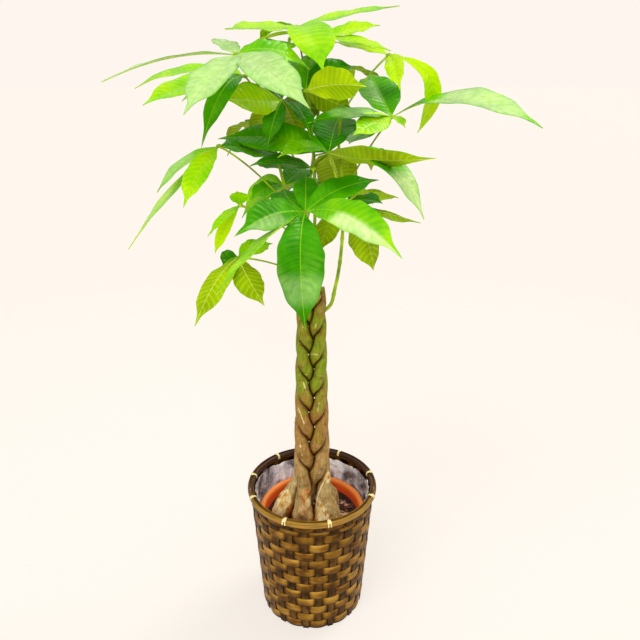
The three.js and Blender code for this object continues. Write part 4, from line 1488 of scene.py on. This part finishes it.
def bladeShare(along, belly):
    # half width along a leaflet: narrow foot, broad middle, drawn out to a drip tip;
    # a belly above 1 moves the broadest place towards the tip
    body = np.clip(np.sin(math.pi * along ** (1.04 * belly)), 0, 1) ** 0.85
    tip = 0.76 + 0.3 * (belly - 1)
    return body * np.clip(along / 0.2, 0, 1) ** 0.35 * (1 - 0.58 * eased((along - tip) / 0.16))


def turnAbout(vectors, axes, angles):
    # each vector turned about its own axis
    dots = np.sum(vectors * axes, axis=1, keepdims=True)
    return (vectors * np.cos(angles) + np.cross(axes, vectors) * np.sin(angles)
            + axes * dots * (1 - np.cos(angles)))


def buildBlade(hub, leaflet, draw, sheen):
    x, y, z, arch, width, roll, sway, tone, *rest = leaflet
    belly = rest[0] if rest else 1
    hub, tip = np.array(hub, float), np.array((x, y, z), float)
    chord = unit(tip - hub)
    right = unit(np.array((chord[1], -chord[0], 0)))
    lift = np.cross(right, chord)
    crown = hub + (tip - hub) * 0.45 + lift * 2 * arch + right * 2 * sway
    fold = math.sin(math.radians(bladeLook["fold"]))
    phases = [draw.uniform(0, 6.28) for _ in range(4)]
    waves, twist = draw.uniform(2.2, 3.6), draw.uniform(-10, 10)
    pairs = round(np.linalg.norm(tip - hub) / bladeLook["veinPitch"]) + 2
    rows = bladeLook["rows"]
    share = np.linspace(0, 1, rows + 1)[:, None]
    spine = hub * (1 - share) ** 2 + 2 * crown * share * (1 - share) + tip * share ** 2
    tangents = unit(2 * (crown - hub) * (1 - share) + 2 * (tip - crown) * share)
    sides = unit(right - tangents * (tangents @ right)[:, None])
    sides = turnAbout(sides, tangents, np.radians(roll + twist * (share - 0.4)))
    ups = np.cross(sides, tangents)
    span = bladeShare(share[:, 0], belly)
    foot = 1.1 * np.clip(1 - share[:, 0] / 0.3, 0, 1)
    reach = np.maximum(span * width / 2, foot + 0.25)

    def veinAt(across, v):
        return pairs * v - leafLook["veinSlant"] * np.abs(across) ** 1.25

    def place(u, v):
        row = np.rint(v * rows).astype(int)
        across = 2 * u - 1
        out = np.abs(across)
        broad = np.clip(span[row] * 1.6, 0, 1) * np.clip(width / 45, 0.4, 1.2)
        swing = 2 * math.pi * waves * v
        side = np.where(across > 0, phases[1], phases[2])
        height = reach[row] * fold * (1.5 * out - 0.7 * out ** 3)
        height -= bladeLook["quilt"] * broad * np.cos(2 * math.pi * veinAt(across, v)) * out ** 0.5 * (1 - out ** 4)
        faster, amount = bladeLook["ripple"]
        wave = np.sin(swing + side) + amount * np.sin(faster * swing + side)
        height += bladeLook["edgeWave"] * broad * wave * out ** 2
        faster, amount = bladeLook["narrowing"]
        wavy = reach[row] * (1 + amount * np.sin(faster * swing + side) * out)
        return spine[row] + sides[row] * (across * wavy)[:, None] + ups[row] * height[:, None]

    def marks(u, v, points):
        row = np.rint(v * rows).astype(int)
        across = 2 * u - 1
        # where the painted sheen shows on this leaflet
        strength, start, end, half = sheen
        onHalf = eased(0.5 + 4 * across * half) if half else 1
        shown = eased((v - start) / 0.12) * eased((end - v) / 0.1) * onHalf * (1 - 0.6 * np.abs(across) ** 6)
        return {
            "tone": tone,
            "bloom": strength * shown,
            "vein": veinAt(across, v),
            "ribDistance": np.abs(across) * reach[row] * (0.8 + 1.3 * v),
            "rib": fading(across, 0.12),
        }

    blade = gridPiece("blade", bladeLook["columns"], rows, place, marks)
    # the midrib is thicker than the blade
    group = blade.vertex_groups.new(name="rib")
    for i, amount in enumerate(blade.data.attributes["rib"].data):
        group.add([i], amount.value, "REPLACE")
    blade.data.materials.append(leafTopFinish)
    blade.data.materials.append(leafUnderFinish)
    applyModifier(blade, "SOLIDIFY", thickness=bladeLook["ribThickness"] * mm, offset=-1, vertex_group="rib",
                  thickness_vertex_group=bladeLook["thickness"] / bladeLook["ribThickness"],
                  material_offset=1, material_offset_rim=0)
    blade.vertex_groups.clear()
    return blade


def buildStalk(grows, hub):
    shootName, share = grows
    hub = np.array(hub, float)
    root = shootPaths[shootName][round(share * shootLook["steps"])]
    bend = (root + hub) / 2 + (0, 0, 0.12 * np.linalg.norm(hub - root))
    along = np.linspace(0, 1, 41)[:, None]
    path = root * (1 - along) ** 2 + 2 * bend * along * (1 - along) + hub * along ** 2

    def radiusAt(share, angle):
        ends = fading(share, 0.05) + 0.8 * fading(1 - share, 0.05)
        return bladeLook["stalkRadius"] * (1 - 0.18 * np.sin(math.pi * share) + 0.6 * ends)

    stalk = rollTube("stalk", path, radiusAt, 12)
    stalk.data.materials.append(shootFinish)
    bpy.ops.object.select_all(action="DESELECT")
    bpy.ops.mesh.primitive_uv_sphere_add(segments=20, ring_count=12, radius=bladeLook["hubRadius"] * mm,
                                         location=Vector(hub) * mm, scale=(1, 1, 0.7))
    knob = bpy.context.object
    knob.data.materials.append(shootFinish)
    bpy.ops.object.transform_apply(location=True, rotation=True, scale=True)
    return [stalk, knob]


def buildLeaf(leaf):
    draw = random.Random(leaf["name"])
    blades = []
    for number, leaflet in enumerate(leaf["leaflets"]):
        sheen = leaf.get("sheens", {}).get(number, (0, 0, 1, 0))
        blades.append(buildBlade(leaf["hub"], leaflet, draw, sheen))
    piece = joinPieces(leaf["name"], blades + buildStalk(leaf["grows"], leaf["hub"]))
    finishPiece(piece, [leaf["name"]], (), 60)


for leaf in leaves:
    buildLeaf(leaf)
print("stage: leaves")
